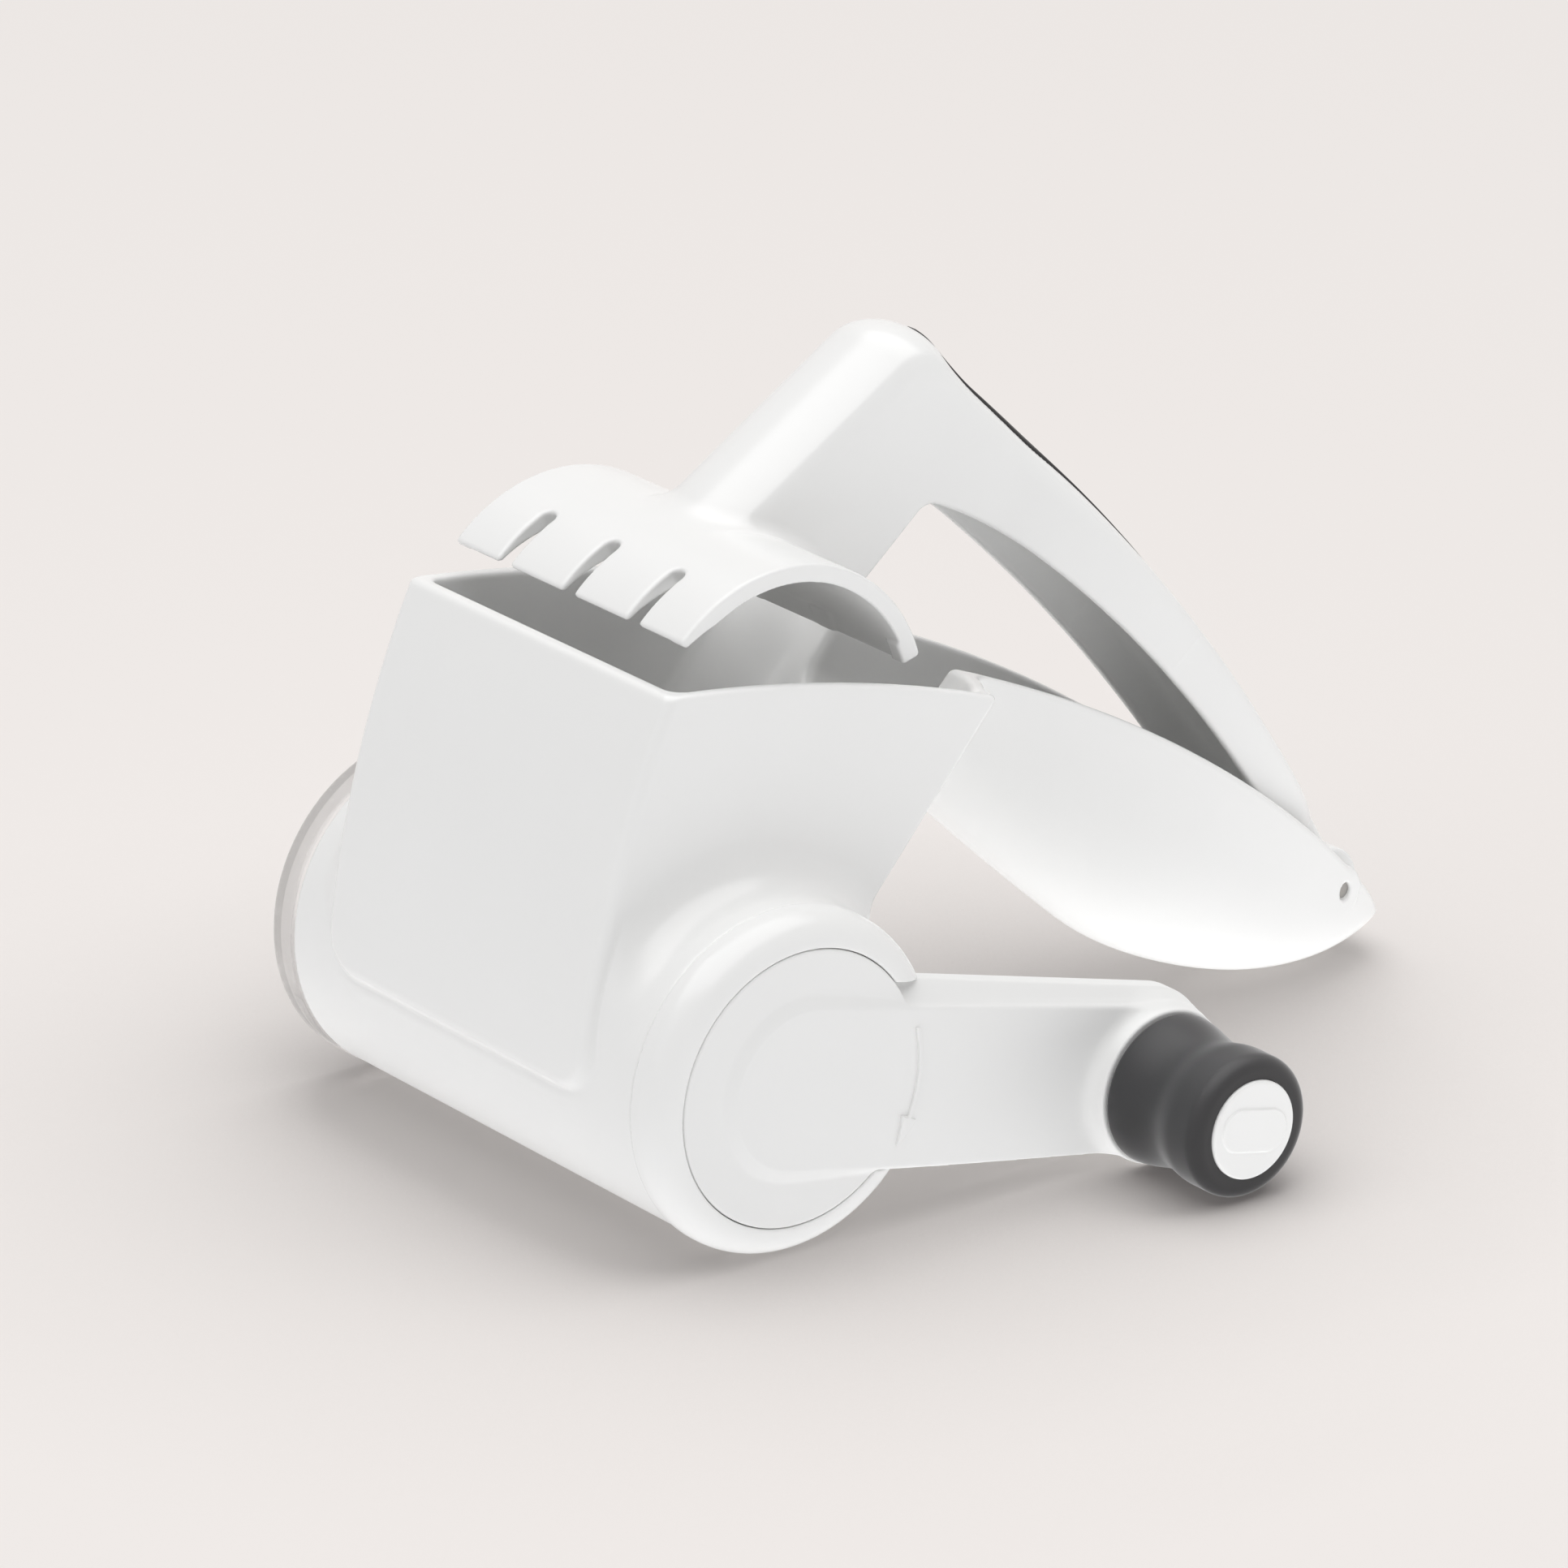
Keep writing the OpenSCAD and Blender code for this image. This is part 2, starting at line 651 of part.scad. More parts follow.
module drum_hub() {
    boss_r = drive_af;
    color("white") crank_turn() difference() {
        lathe() union() {
            translate([0, hub_y]) square([bore_r - run_gap, hub_t]);
            translate([drum_r - 3 * drum_t - seat_gap, hub_y]) square([2 * drum_t, hub_t + sleeve_l]);
            translate([0, hub_y]) square([boss_r, drive_reach]);
        }
        translate([0, drive_y - hub_t / 2, 0]) rotate([90, 0, 0])
            cylinder(r = drive_r(drive_af + 2 * seat_gap), h = drive_reach + over, $fn = 6);
    }
}

// Crank, drawn along X and turned down about the drum's axis

crank_y = -half_l - 2 * seat_gap;
front_y = crank_y - rim_depth;
disc_t = 2.6;
step_t = 4.1;
hub_groove = 0.15;
rim_swell = 0.5;
rim_round = 5.8;

module crank_turn() {
    from_mouth() rotate([0, crank_deg, 0]) children();
}

module crank_outline(w0, w1, rise = 0) {
    translate([0, rise]) {
        polygon([[0, -w0 / 2], [crank_l, -w1 / 2], [crank_l, w1 / 2], [0, w0 / 2]]);
        translate([crank_l, 0]) circle(r = w1 / 2);
    }
}

module crank_hub() {
    rim_c_r = barrel_r + rim_swell - rim_round;
    color("white") crank_turn() difference() {
        union() {
            lathe() union() {
                intersection() {
                    translate([rim_c_r, front_y + rim_round]) circle(r = rim_round);
                    translate([0, front_y]) square([2 * barrel_r, rim_depth]);
                }
                translate([0, front_y]) square([rim_c_r, rim_depth]);
                translate([0, crank_y]) square([bore_r - run_gap, hub_y - seat_gap - crank_y]);
            }
            translate([0, drive_y - hub_t, 0]) rotate([90, 0, 0])
                cylinder(r = drive_r(drive_af), h = drive_y - hub_t - crank_y, $fn = 6);
        }
        slab(front_y - over, front_y + disc_t + seat_gap) circle(r = disc_r + hub_groove);
        slab(front_y - over, crank_y) difference() {
            crank_outline(crank_w + 2 * hub_groove, crank_end_w + 2 * hub_groove, crank_rise);
            circle(r = disc_r + hub_groove);
        }
    }
}

boss_out = 3;
boss_ring = 0.5;
arrow_t = 0.4;
arrow_w = 0.7;
arrow_from_deg = 26;
arrow_to_deg = -12;
head_l = 5.4;
head_w = 3.6;

module crank_arm() {
    face_y = front_y - face_t;
    color("white") crank_turn() difference() {
        union() {
            slab(front_y, front_y + disc_t) circle(r = disc_r);
            difference() {
                union() {
                    slab(crank_y - step_t, crank_y - seat_gap)
                        crank_outline(crank_w, crank_end_w, crank_rise);
                    hull() {
                        slab(crank_y - step_t - hub_groove, crank_y - step_t)
                            crank_outline(crank_w, crank_end_w, crank_rise, $fn = 32);
                        slab(front_y, front_y + hub_groove) crank_outline(face_w, face_end_w, $fn = 32);
                    }
                }
                slab(front_y + disc_t, crank_y + over) circle(r = disc_r + 2 * hub_groove);
            }
            slab(face_y, front_y) {
                crank_outline(face_w, face_end_w);
                circle(r = face_w / 2);
            }
            translate([crank_l, face_y, 0]) rotate([90, 0, 0])
                cylinder(r1 = crank_end_w / 2 - face_t, r2 = knob_r + boss_ring, h = boss_out);
            translate([crank_l, face_y - boss_out, 0]) rotate([90, 0, 0]) cylinder(r = peg_r, h = peg_l);
            // Turning arrow
            rotate([0, -arrow_to_deg, 0]) lathe(arrow_from_deg - arrow_to_deg)
                translate([disc_r - arrow_w / 2, face_y - arrow_t]) square([arrow_w, 2 * arrow_t]);
            rotate([0, -arrow_to_deg, 0]) slab(face_y - arrow_t, face_y + arrow_t)
                polygon([[disc_r - head_w / 2, 0], [disc_r + head_w / 2, 0],
                         [disc_r - head_w / 4, -head_l]]);
        }
        // Hollow back
        slab(crank_y - step_t - boss_out, crank_y + over) intersection() {
            crank_outline(crank_w - 3 * disc_t, crank_end_w - 3 * disc_t, crank_rise);
            difference() {
                translate([disc_r + disc_t, -crank_w]) square([crank_l, 2 * crank_w]);
                translate([crank_l, 0]) circle(r = peg_r + disc_t);
            }
        }
        translate([crank_l, face_y, 0]) rotate([90, 0, 0]) cylinder(r = screw_r, h = knob_l);
    }
}

// Knob

boss_y = front_y - face_t - boss_out;
knob_y = boss_y - pass_gap;
cap_t = 2.2;
screw_r = 1.5;
screw_head_r = 3.6;
screw_head_t = 2;
core_r = 8;
core_foot = 1.6;
core_wall_y = knob_y - knob_l + cap_t;
// The peg ends this far short of the knob's length, under the screw's head
peg_short = 6;
peg_l = knob_l - peg_short;
peg_end_y = boss_y - peg_l;

module knob_turn() {
    crank_turn() translate([crank_l, 0, 0]) children();
}

bush_r = peg_r + run_gap;
module knob_core() {
    color("white") knob_turn() lathe() difference() {
        union() {
            translate([bush_r, core_wall_y + seat_gap])
                square([core_r - bush_r, knob_y - core_wall_y - seat_gap]);
            translate([bush_r, knob_y - core_foot]) square([knob_r - core_foot - bush_r, core_foot]);
        }
        translate([0, core_wall_y - over])
            square([screw_head_r + core_foot, peg_end_y - seat_gap - core_wall_y + over]);
    }
}

// Waisted outside of the sleeve by its share of the length, as a smooth curve
sleeve_steps = 16;
end_steps = 6;
lip_r = 2.6;
function swing(a, b, t) = mix(a, b, (1 - cos(180 * t)) / 2);
waist_share = 0.5;
bulge_share = 0.8;
function sleeve_r(t) =
    t < waist_share ? swing(knob_r, waist_r, t / waist_share)
    : t < bulge_share ? swing(waist_r, knob_end_r, (t - waist_share) / (bulge_share - waist_share))
    : knob_end_r;

// Everything inside a radius between two places along the knob
module core_of(r, y0, y1) {
    translate([-r, y0]) square([2 * r, y1 - y0]);
}

cap_proud = 0.6;
module knob_sleeve() {
    end_y = knob_y - knob_l + cap_proud;
    lip_y = end_y + lip_r;
    color("#3c3c3c") knob_turn() lathe() difference() {
        polygon(concat([[0, knob_y]],
            [for (i = [0 : sleeve_steps]) let (t = i / sleeve_steps) [sleeve_r(t), mix(knob_y, lip_y, t)]],
            [for (i = [1 : end_steps])
                let (a = 90 * i / end_steps)
                [knob_end_r - lip_r * (1 - cos(a)), lip_y - lip_r * sin(a)]],
            [[0, end_y]]));
        core_of(core_r + seat_gap, end_y - over, knob_y + over);
        core_of(knob_r - core_foot + seat_gap, knob_y - core_foot - seat_gap, knob_y + over);
        core_of(cap_r + seat_gap, end_y - over, core_wall_y + seat_gap);
    }
}

pill_l = 14.6;
pill_w = 7.8;
pill_t = 0.3;
module knob_cap() {
    cap_y = knob_y - knob_l;
    color("white") knob_turn() union() {
        lathe() translate([0, cap_y]) square([cap_r, cap_t]);
        slab(cap_y - pill_t, cap_y) union() {
            translate([-pill_l / 2 + pill_w / 2, -pill_w / 2]) square([pill_l - pill_w, pill_w]);
            for (s = [-1, 1]) translate([s * (pill_l - pill_w) / 2, 0]) circle(r = pill_w / 2);
        }
    }
}

module knob_screw() {
    color("silver") knob_turn() lathe() union() {
        translate([0, peg_end_y - seat_gap - screw_head_t]) square([screw_head_r, screw_head_t]);
        translate([0, peg_end_y - seat_gap]) square([screw_r, knob_l / 3]);
    }
}

housing();
press_arm();
arm_grip();
hinge_pin();
drum_tube();
drum_flange();
drum_hub();
crank_hub();
crank_arm();
knob_core();
knob_sleeve();
knob_cap();
knob_screw();
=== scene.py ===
import bmesh, bpy, json, math
import numpy as np
from mathutils import Matrix, Vector


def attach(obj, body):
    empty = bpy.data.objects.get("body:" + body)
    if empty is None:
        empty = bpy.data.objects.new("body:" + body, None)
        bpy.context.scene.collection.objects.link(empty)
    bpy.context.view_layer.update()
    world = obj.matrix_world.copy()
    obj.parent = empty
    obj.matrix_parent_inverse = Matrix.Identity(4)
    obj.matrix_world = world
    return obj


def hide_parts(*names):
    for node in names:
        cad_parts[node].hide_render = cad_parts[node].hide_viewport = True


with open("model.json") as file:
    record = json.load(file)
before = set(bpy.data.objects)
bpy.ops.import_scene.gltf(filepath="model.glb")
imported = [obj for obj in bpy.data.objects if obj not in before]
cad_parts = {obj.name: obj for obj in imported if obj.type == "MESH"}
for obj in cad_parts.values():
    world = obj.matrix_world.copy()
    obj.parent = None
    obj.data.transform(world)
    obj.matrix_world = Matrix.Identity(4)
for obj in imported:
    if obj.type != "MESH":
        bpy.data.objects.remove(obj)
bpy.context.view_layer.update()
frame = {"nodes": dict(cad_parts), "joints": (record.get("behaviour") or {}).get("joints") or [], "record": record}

# Everything is drawn in millimetres about the middle of the barrel, and addMesh puts it in the CAD's place.
mm = 0.001
joints = {j["name"]: j for j in frame["joints"]}
toMm = lambda metres: np.array(metres, float) / mm
middle = toMm(joints["crank_spin"]["pos_m"])
hinge = toMm(joints["arm_lift"]["pos_m"]) - middle
knobAxis = toMm(joints["knob_spin"]["pos_m"]) - middle


# Surfaces from distance fields

def join(a, b, r):  # union with a rolling-ball fillet of radius r
    return np.maximum(r, np.minimum(a, b)) - np.hypot(np.maximum(r - a, 0), np.maximum(r - b, 0))


def meet(a, b, r):  # intersection with its edge rounded to radius r
    return -join(-a, -b, r)


def cut(a, b, r):  # a without b
    return meet(a, -b, r)


def smoothStep(a, b, x):
    t = np.clip((x - a) / (b - a), 0, 1)
    return t * t * (3 - 2 * t)


def axes(low, high, step):  # x, y and z of a grid, shaped to broadcast
    spans = [np.arange(a, b + step, step, dtype=np.float32) for a, b in zip(low, high)]
    return spans[0][:, None, None], spans[1][None, :, None], spans[2][None, None, :]


def mirrored(field):  # the half at y > 0, which starts half a step below the middle plane, made whole
    return np.concatenate([field[:, :0:-1], field[:, 1:]], axis=1)


def startOf(low, half, step):  # the first corner of a half grid once it is mirrored
    return low[0], low[1] - (half.shape[1] - 2) * step, low[2]


def sampled(field, p):
    i = np.clip(p.astype(np.int64), 0, np.array(field.shape) - 2)
    t = p - i
    value = 0
    for corner in np.ndindex(2, 2, 2):
        c = np.array(corner)
        share = np.prod(np.where(c, t, 1 - t), axis=1)
        value = value + share * field[tuple((i + c).T)]
    return value


def slopeAt(field, p, reach=0.75):
    slopes = [sampled(field, p + d) - sampled(field, p - d) for d in np.eye(3) * reach]
    return np.stack(slopes, axis=1) / (2 * reach)


def surfaceNet(field):  # points and quads where the field changes sign, in grid steps
    size = np.array(field.shape)
    number = lambda c: (c[:, 0] * size[1] + c[:, 1]) * size[2] + c[:, 2]
    owners, crossings, quads = [], [], []
    for axis in range(3):
        ahead, behind = [slice(None)] * 3, [slice(None)] * 3
        ahead[axis], behind[axis] = slice(1, None), slice(0, -1)
        first, second = field[tuple(behind)], field[tuple(ahead)]
        at = np.argwhere((first < 0) != (second < 0))
        u, w = (axis + 1) % 3, (axis + 2) % 3
        at = at[(at[:, u] > 0) & (at[:, w] > 0) & (at[:, u] < size[u] - 1) & (at[:, w] < size[w] - 1)]
        a, b = first[tuple(at.T)], second[tuple(at.T)]
        point = at.astype(float)
        point[:, axis] += a / (a - b)
        shift = np.zeros((4, 3), np.int64)
        shift[[0, 1], w], shift[[0, 3], u] = -1, -1
        cells = np.stack([number(at + s) for s in shift], axis=1)
        quads.append(np.where((a < 0)[:, None], cells, cells[:, ::-1]))
        for k in range(4):
            owners.append(cells[:, k])
            crossings.append(point)
    owners, crossings, quads = np.concatenate(owners), np.concatenate(crossings), np.concatenate(quads)
    used, place = np.unique(owners, return_inverse=True)
    count = np.bincount(place)
    points = np.stack([np.bincount(place, crossings[:, k]) / count for k in range(3)], axis=1)
    return points, np.searchsorted(used, quads)


def addMesh(name, points, faces):
    mesh = bpy.data.meshes.new(name)
    mesh.from_pydata((np.asarray(points) * mm + middle * mm).tolist(), [], [list(f) for f in faces])
    mesh.update()
    piece = bpy.data.objects.new(name, mesh)
    bpy.context.scene.collection.objects.link(piece)
    return piece


# A mesh of the field's surface, shaded by its slope. keep is the share of faces left, turn angle and pivot.
def fieldPiece(name, field, low, step, turn=None, keep=1.0):
    low = np.array(low, float)
    points, quads = surfaceNet(field)
    flattest, longest = 0.05, 0.6  # least slope squared, and the longest move in grid steps
    for _ in range(2):  # draws the points on to the surface
        slope = slopeAt(field, points)
        off = sampled(field, points) / np.maximum((slope ** 2).sum(1), flattest)
        points = points - slope * np.clip(off, -longest, longest)[:, None]
    piece = addMesh(name, points * step + low, quads)
    if keep < 1:
        thin = piece.modifiers.new("thin", "DECIMATE")
        thin.ratio = keep
        graph = bpy.context.evaluated_depsgraph_get()
        slim = bpy.data.meshes.new_from_object(piece.evaluated_get(graph))
        piece.modifiers.clear()
        piece.data = slim
    mesh = piece.data
    where = np.empty(len(mesh.vertices) * 3)
    mesh.vertices.foreach_get("co", where)
    where = where.reshape(-1, 3) / mm - middle
    normal = slopeAt(field, (where - low) / step)
    normal /= np.maximum(np.linalg.norm(normal, axis=1), 1e-9)[:, None]
    if turn is not None:
        angle, pivot = turn
        c, s = math.cos(angle), math.sin(angle)
        matrix = np.array([[c, 0, s], [0, 1, 0], [-s, 0, c]])
        where = (where - pivot) @ matrix.T + pivot
        normal = normal @ matrix.T
        mesh.vertices.foreach_set("co", ((where + middle) * mm).ravel())
    mesh.polygons.foreach_set("use_smooth", [True] * len(mesh.polygons))
    mesh.update()
    mesh.normals_split_custom_set_from_vertices(normal.tolist())
    print("  ", name, len(mesh.vertices), "points")
    return piece


def roundedProfile(corners, steps=8):  # (radius, along, fillet) corners to a smooth (radius, along) outline
    outline = []
    for k, (r, a, fillet) in enumerate(corners):
        here = Vector((r, a))
        if fillet <= 0 or k in (0, len(corners) - 1):
            outline.append(here)
            continue
        back = Vector(corners[k - 1][:2]) - here
        ahead = Vector(corners[k + 1][:2]) - here
        angle = back.angle(ahead)
        reach = min(fillet / math.tan(angle / 2), back.length * 0.49, ahead.length * 0.49)
        start, end = here + back.normalized() * reach, here + ahead.normalized() * reach
        for i in range(steps + 1):
            t = i / steps
            outline.append(start * (1 - t) ** 2 + here * 2 * t * (1 - t) + end * t ** 2)
    return outline


def lathePiece(name, corners, centre, sides=160, sharp=40):  # a closed outline spun about an axis along Y
    outline = roundedProfile(corners)
    points, faces = [], []
    for r, a in outline:
        for k in range(sides):
            turn = 2 * math.pi * k / sides
            points.append((centre[0] + r * math.cos(turn), a, centre[2] + r * math.sin(turn)))
    rows = len(outline)
    for i in range(rows):
        row, ahead = i * sides, (i + 1) % rows * sides
        for k in range(sides):
            n = (k + 1) % sides
            faces.append((row + k, row + n, ahead + n, ahead + k))
    piece = addMesh(name, points, faces)
    mesh = piece.data
    soft = bmesh.new()
    soft.from_mesh(mesh)
    bmesh.ops.remove_doubles(soft, verts=soft.verts, dist=1e-7)
    bmesh.ops.recalc_face_normals(soft, faces=soft.faces)
    soft.to_mesh(mesh)
    soft.free()
    mesh.polygons.foreach_set("use_smooth", [True] * len(mesh.polygons))
    mesh.set_sharp_from_angle(angle=math.radians(sharp))
    return piece


# Camera, floor and light, at the photograph's view

photo = {
    "position": (-943.71, -1246.64, 623.32),  # mm from the barrel's middle
    "right": (0.7898, -0.61301, 0.02068),
    "up": (0.19965, 0.28882, 0.93633),
    "back": (-0.57996, -0.73539, 0.3505),
    "lens": 223.6, "sensor": 36, "farM": 20,
    "ground": -30.3,
    "lampAim": (60, 0, 10),
    "backdrop": "#F1ECE9", "paper": "#EBE6E3", "plainPaper": "#E4E4E5", "glow": "#FFFFFF",
    "room": "#F4F4F6", "roomLight": 0.1,
    # painted shadow on the floor: this share of it is the backdrop colour, painted darker where a spot is closed
    # in
    "paintedShadow": 0.5,  # share of the backdrop whose shadow comes from how closed in a spot is
    "shade": "#767271", "shadeReach": 130, "shadeFrom": 0.5,
    "bounce": (0.5, 0.88), "bounceRun": (-120, 160),  # light from under the sweep, stronger to the right
}


def linear(hexColour, alpha=1.0):
    channels = [int(hexColour[i:i + 2], 16) / 255 for i in (1, 3, 5)]
    return tuple(c / 12.92 if c <= 0.04045 else ((c + 0.055) / 1.055) ** 2.4 for c in channels) + (alpha,)


def addNode(tree, kind, settings=None, links=None):  # settings by socket or attribute, links by input
    node = tree.nodes.new(kind)
    for name, value in (settings or {}).items():
        if isinstance(name, int) or name in node.inputs:
            node.inputs[name].default_value = value
        else:
            setattr(node, name, value)
    for name, source in (links or {}).items():
        tree.links.new(source, node.inputs[name])
    return node


scene = bpy.context.scene
scene.view_settings.view_transform = "Standard"

lens = bpy.data.cameras.new("photoCamera")
lens.lens, lens.sensor_width, lens.clip_end = photo["lens"], photo["sensor"], photo["farM"]
camera = bpy.data.objects.new("photoCamera", lens)
turn = Matrix((photo["right"], photo["up"], photo["back"])).transposed().normalized().to_4x4()
camera.matrix_world = Matrix.Translation((Vector(photo["position"]) + Vector(middle)) * mm) @ turn
scene.collection.objects.link(camera)
scene.camera = camera

world = bpy.data.worlds.new("studio")
scene.world = world
world.use_nodes = True
sky = world.node_tree
sky.nodes.clear()


def seenAsBackdrop(tree):  # 1 for rays that see the backdrop, straight, mirrored or through clear plastic
    rays = addNode(tree, "ShaderNodeLightPath")
    mirrored = addNode(tree, "ShaderNodeMath", {"operation": "MAXIMUM"},
                       {0: rays.outputs["Is Camera Ray"], 1: rays.outputs["Is Glossy Ray"]})
    return addNode(tree, "ShaderNodeMath", {"operation": "MAXIMUM"},
                   {0: mirrored.outputs[0], 1: rays.outputs["Is Transmission Ray"]})


direct = seenAsBackdrop(sky)
backdrop = addNode(sky, "ShaderNodeBackground", {"Color": linear(photo["backdrop"]), "Strength": 1.0})
room = addNode(sky, "ShaderNodeBackground", {
    "Color": linear(photo["room"]), "Strength": photo["roomLight"]})
both = addNode(sky, "ShaderNodeMixShader", None,
               {0: direct.outputs[0], 1: room.outputs[0], 2: backdrop.outputs[0]})
addNode(sky, "ShaderNodeOutputWorld", None, {"Surface": both.outputs[0]})

softboxes = {  # name: (place in mm from the barrel's middle, size in mm, watts)
    "overhead": ((-50, -50, 3000), 4800, 150),
    "rightFront": ((900, -1400, 500), 1000, 0.3),
    "leftFront": ((-1500, -300, 700), 1100, 1.0),
}
for name, (place, size, watts) in softboxes.items():
    lamp = bpy.data.lights.new(name, "AREA")
    lamp.energy, lamp.size = watts, size * mm
    lampObject = bpy.data.objects.new(name, lamp)
    lampObject.location = (Vector(place) + Vector(middle)) * mm
    aim = Vector(photo["lampAim"]) - Vector(place)
    lampObject.rotation_euler = aim.to_track_quat("-Z", "Y").to_euler()
    scene.collection.objects.link(lampObject)


def makeFloor(half=6000):
    ground = photo["ground"]
    corners = [(-half, -half, ground), (half, -half, ground), (half, half, ground), (-half, half, ground)]
    floor = addMesh("floor", corners, [(0, 1, 2, 3)])
    # Paper sweep where the camera sees it, also mirrored or through clear plastic: matt paper shaded by the
    # object, mixed with painted shadow, the backdrop colour darkened where a spot is closed in. To the light that
    # the object bounces, it is a light table that glows more to the right.
    paper = bpy.data.materials.new("paperSweep")
    paper.use_nodes = True
    tree = paper.node_tree
    tree.nodes.clear()
    direct = seenAsBackdrop(tree)
    matt = addNode(tree, "ShaderNodeBsdfDiffuse", {"Color": linear(photo["paper"])})
    place = addNode(tree, "ShaderNodeSeparateXYZ", None,
                    {"Vector": addNode(tree, "ShaderNodeTexCoord").outputs["Object"]})
    ramp = addNode(tree, "ShaderNodeMapRange", {
        "interpolation_type": "SMOOTHSTEP",
        "From Min": photo["bounceRun"][0] * mm, "From Max": photo["bounceRun"][1] * mm,
        "To Min": photo["bounce"][0], "To Max": photo["bounce"][1]}, {"Value": place.outputs["X"]})
    glow = addNode(tree, "ShaderNodeEmission", {"Color": linear(photo["glow"])},
                   {"Strength": ramp.outputs["Result"]})
    plain = addNode(tree, "ShaderNodeBsdfDiffuse", {"Color": linear(photo["plainPaper"])})
    lightTable = addNode(tree, "ShaderNodeAddShader", None, {0: plain.outputs[0], 1: glow.outputs[0]})
    # Painted shadow: the unlit backdrop colour darkens towards the shade colour where the spot is closed in
    closed = addNode(tree, "ShaderNodeAmbientOcclusion", {"Distance": photo["shadeReach"] * mm})
    depth = addNode(tree, "ShaderNodeMapRange", {"From Min": photo["shadeFrom"], "From Max": 1.0},
                    {"Value": closed.outputs["AO"]})
    shade = addNode(tree, "ShaderNodeMix", {"data_type": "RGBA"}, {"Factor": depth.outputs["Result"]})
    shade.inputs[6].default_value = linear(photo["shade"])
    shade.inputs[7].default_value = linear(photo["backdrop"])
    paintedShadow = addNode(tree, "ShaderNodeEmission", {"Strength": 1.0}, {"Color": shade.outputs[2]})
    seen = addNode(tree, "ShaderNodeMixShader", {0: photo["paintedShadow"]},
                   {1: matt.outputs[0], 2: paintedShadow.outputs[0]})
    both = addNode(tree, "ShaderNodeMixShader", None,
                   {0: direct.outputs[0], 1: lightTable.outputs[0], 2: seen.outputs[0]})
    addNode(tree, "ShaderNodeOutputMaterial", None, {"Surface": both.outputs[0]})
    floor.data.materials.append(paper)


makeFloor()
print("stage: camera, floor and light")


# Materials

def newMaterial(name):
    material = bpy.data.materials.new(name)
    material.use_nodes = True
    material.node_tree.nodes.clear()
    return material, material.node_tree


def closeMaterial(tree, shader):
    addNode(tree, "ShaderNodeOutputMaterial", None, {"Surface": shader.outputs[0]})


moulding = {
    "cloudMm": 24, "cloudDetail": 3.0, "skinDetail": 2.0, "skinBump": 0.25,
    "glossShares": (0.9, 1.12), "sheenRoughness": 0.35,
}


# Injection-moulded: an even colour with a faint cloud from the flow, and a fine skin that breaks up gloss
def moulded(name, colour, roughness, ior, grainMm, grainDepth, mottle, sheen=0.0):
    m = moulding
    material, tree = newMaterial(name)
    place = addNode(tree, "ShaderNodeTexCoord").outputs["Object"]
    cloud = addNode(tree, "ShaderNodeTexNoise",
                    {"Scale": 1 / (m["cloudMm"] * mm), "Detail": m["cloudDetail"]},
                    {"Vector": place}).outputs["Fac"]
    skin = addNode(tree, "ShaderNodeTexNoise", {"Scale": 1 / (grainMm * mm), "Detail": m["skinDetail"]},
                   {"Vector": place}).outputs["Fac"]
    tint = addNode(tree, "ShaderNodeMix", {"data_type": "RGBA"}, {"Factor": cloud})
    for socket, shift in ((6, -mottle), (7, mottle)):
        tint.inputs[socket].default_value = tuple(c * (1 + shift) for c in linear(colour)[:3]) + (1,)
    calm, dull = (roughness * share for share in m["glossShares"])
    gloss = addNode(tree, "ShaderNodeMapRange", {"To Min": calm, "To Max": dull}, {"Value": cloud})
    bump = addNode(tree, "ShaderNodeBump", {"Strength": m["skinBump"], "Distance": grainDepth * mm},
                   {"Height": skin})
    shader = addNode(tree, "ShaderNodeBsdfPrincipled",
                     {"IOR": ior, "Sheen Weight": sheen, "Sheen Roughness": m["sheenRoughness"]},
                     {"Base Color": tint.outputs[2], "Roughness": gloss.outputs["Result"],
                      "Normal": bump.outputs["Normal"]})
    closeMaterial(tree, shader)
    return material


# ABS off polished steel: clean soft highlights
whiteAbs = moulded("whiteMouldedAbs", "#F0F0EF", roughness=0.24, ior=1.53,
                   grainMm=0.5, grainDepth=0.01, mottle=0.012)
# ABS off a fine-blasted face: highlights spread out
satinAbs = moulded("whiteSatinAbs", "#EDEDEC", roughness=0.42, ior=1.53,
                   grainMm=0.35, grainDepth=0.02, mottle=0.012)
# Nylon of the inner parts: a little creamy and dull
nylon = moulded("whiteNylon", "#DEDDD8", roughness=0.5, ior=1.53, grainMm=0.4, grainDepth=0.02, mottle=0.02)
# Soft rubber moulded over the knob: a wide dull sheen that lightens its edges
softTouch = moulded("darkSoftTouchRubber", "#2D2D2F", roughness=0.5, ior=1.5,
                    grainMm=0.3, grainDepth=0.04, mottle=0.06, sheen=0.6)
# Soft rubber let into the arm: nearly black and dull
gripStrip = moulded("blackSoftStrip", "#1F1F21", roughness=0.58, ior=1.5,
                    grainMm=0.3, grainDepth=0.04, mottle=0.08)


styrene = {
    "colour": "#F8F9FA", "ior": 1.59, "through": 0.95, "gloss": (0.03, 0.09),
    "flowMm": 9, "flowDetail": 2.0,
    "bare": 0.55,  # share of it that bends no light, because the wall is thin
}


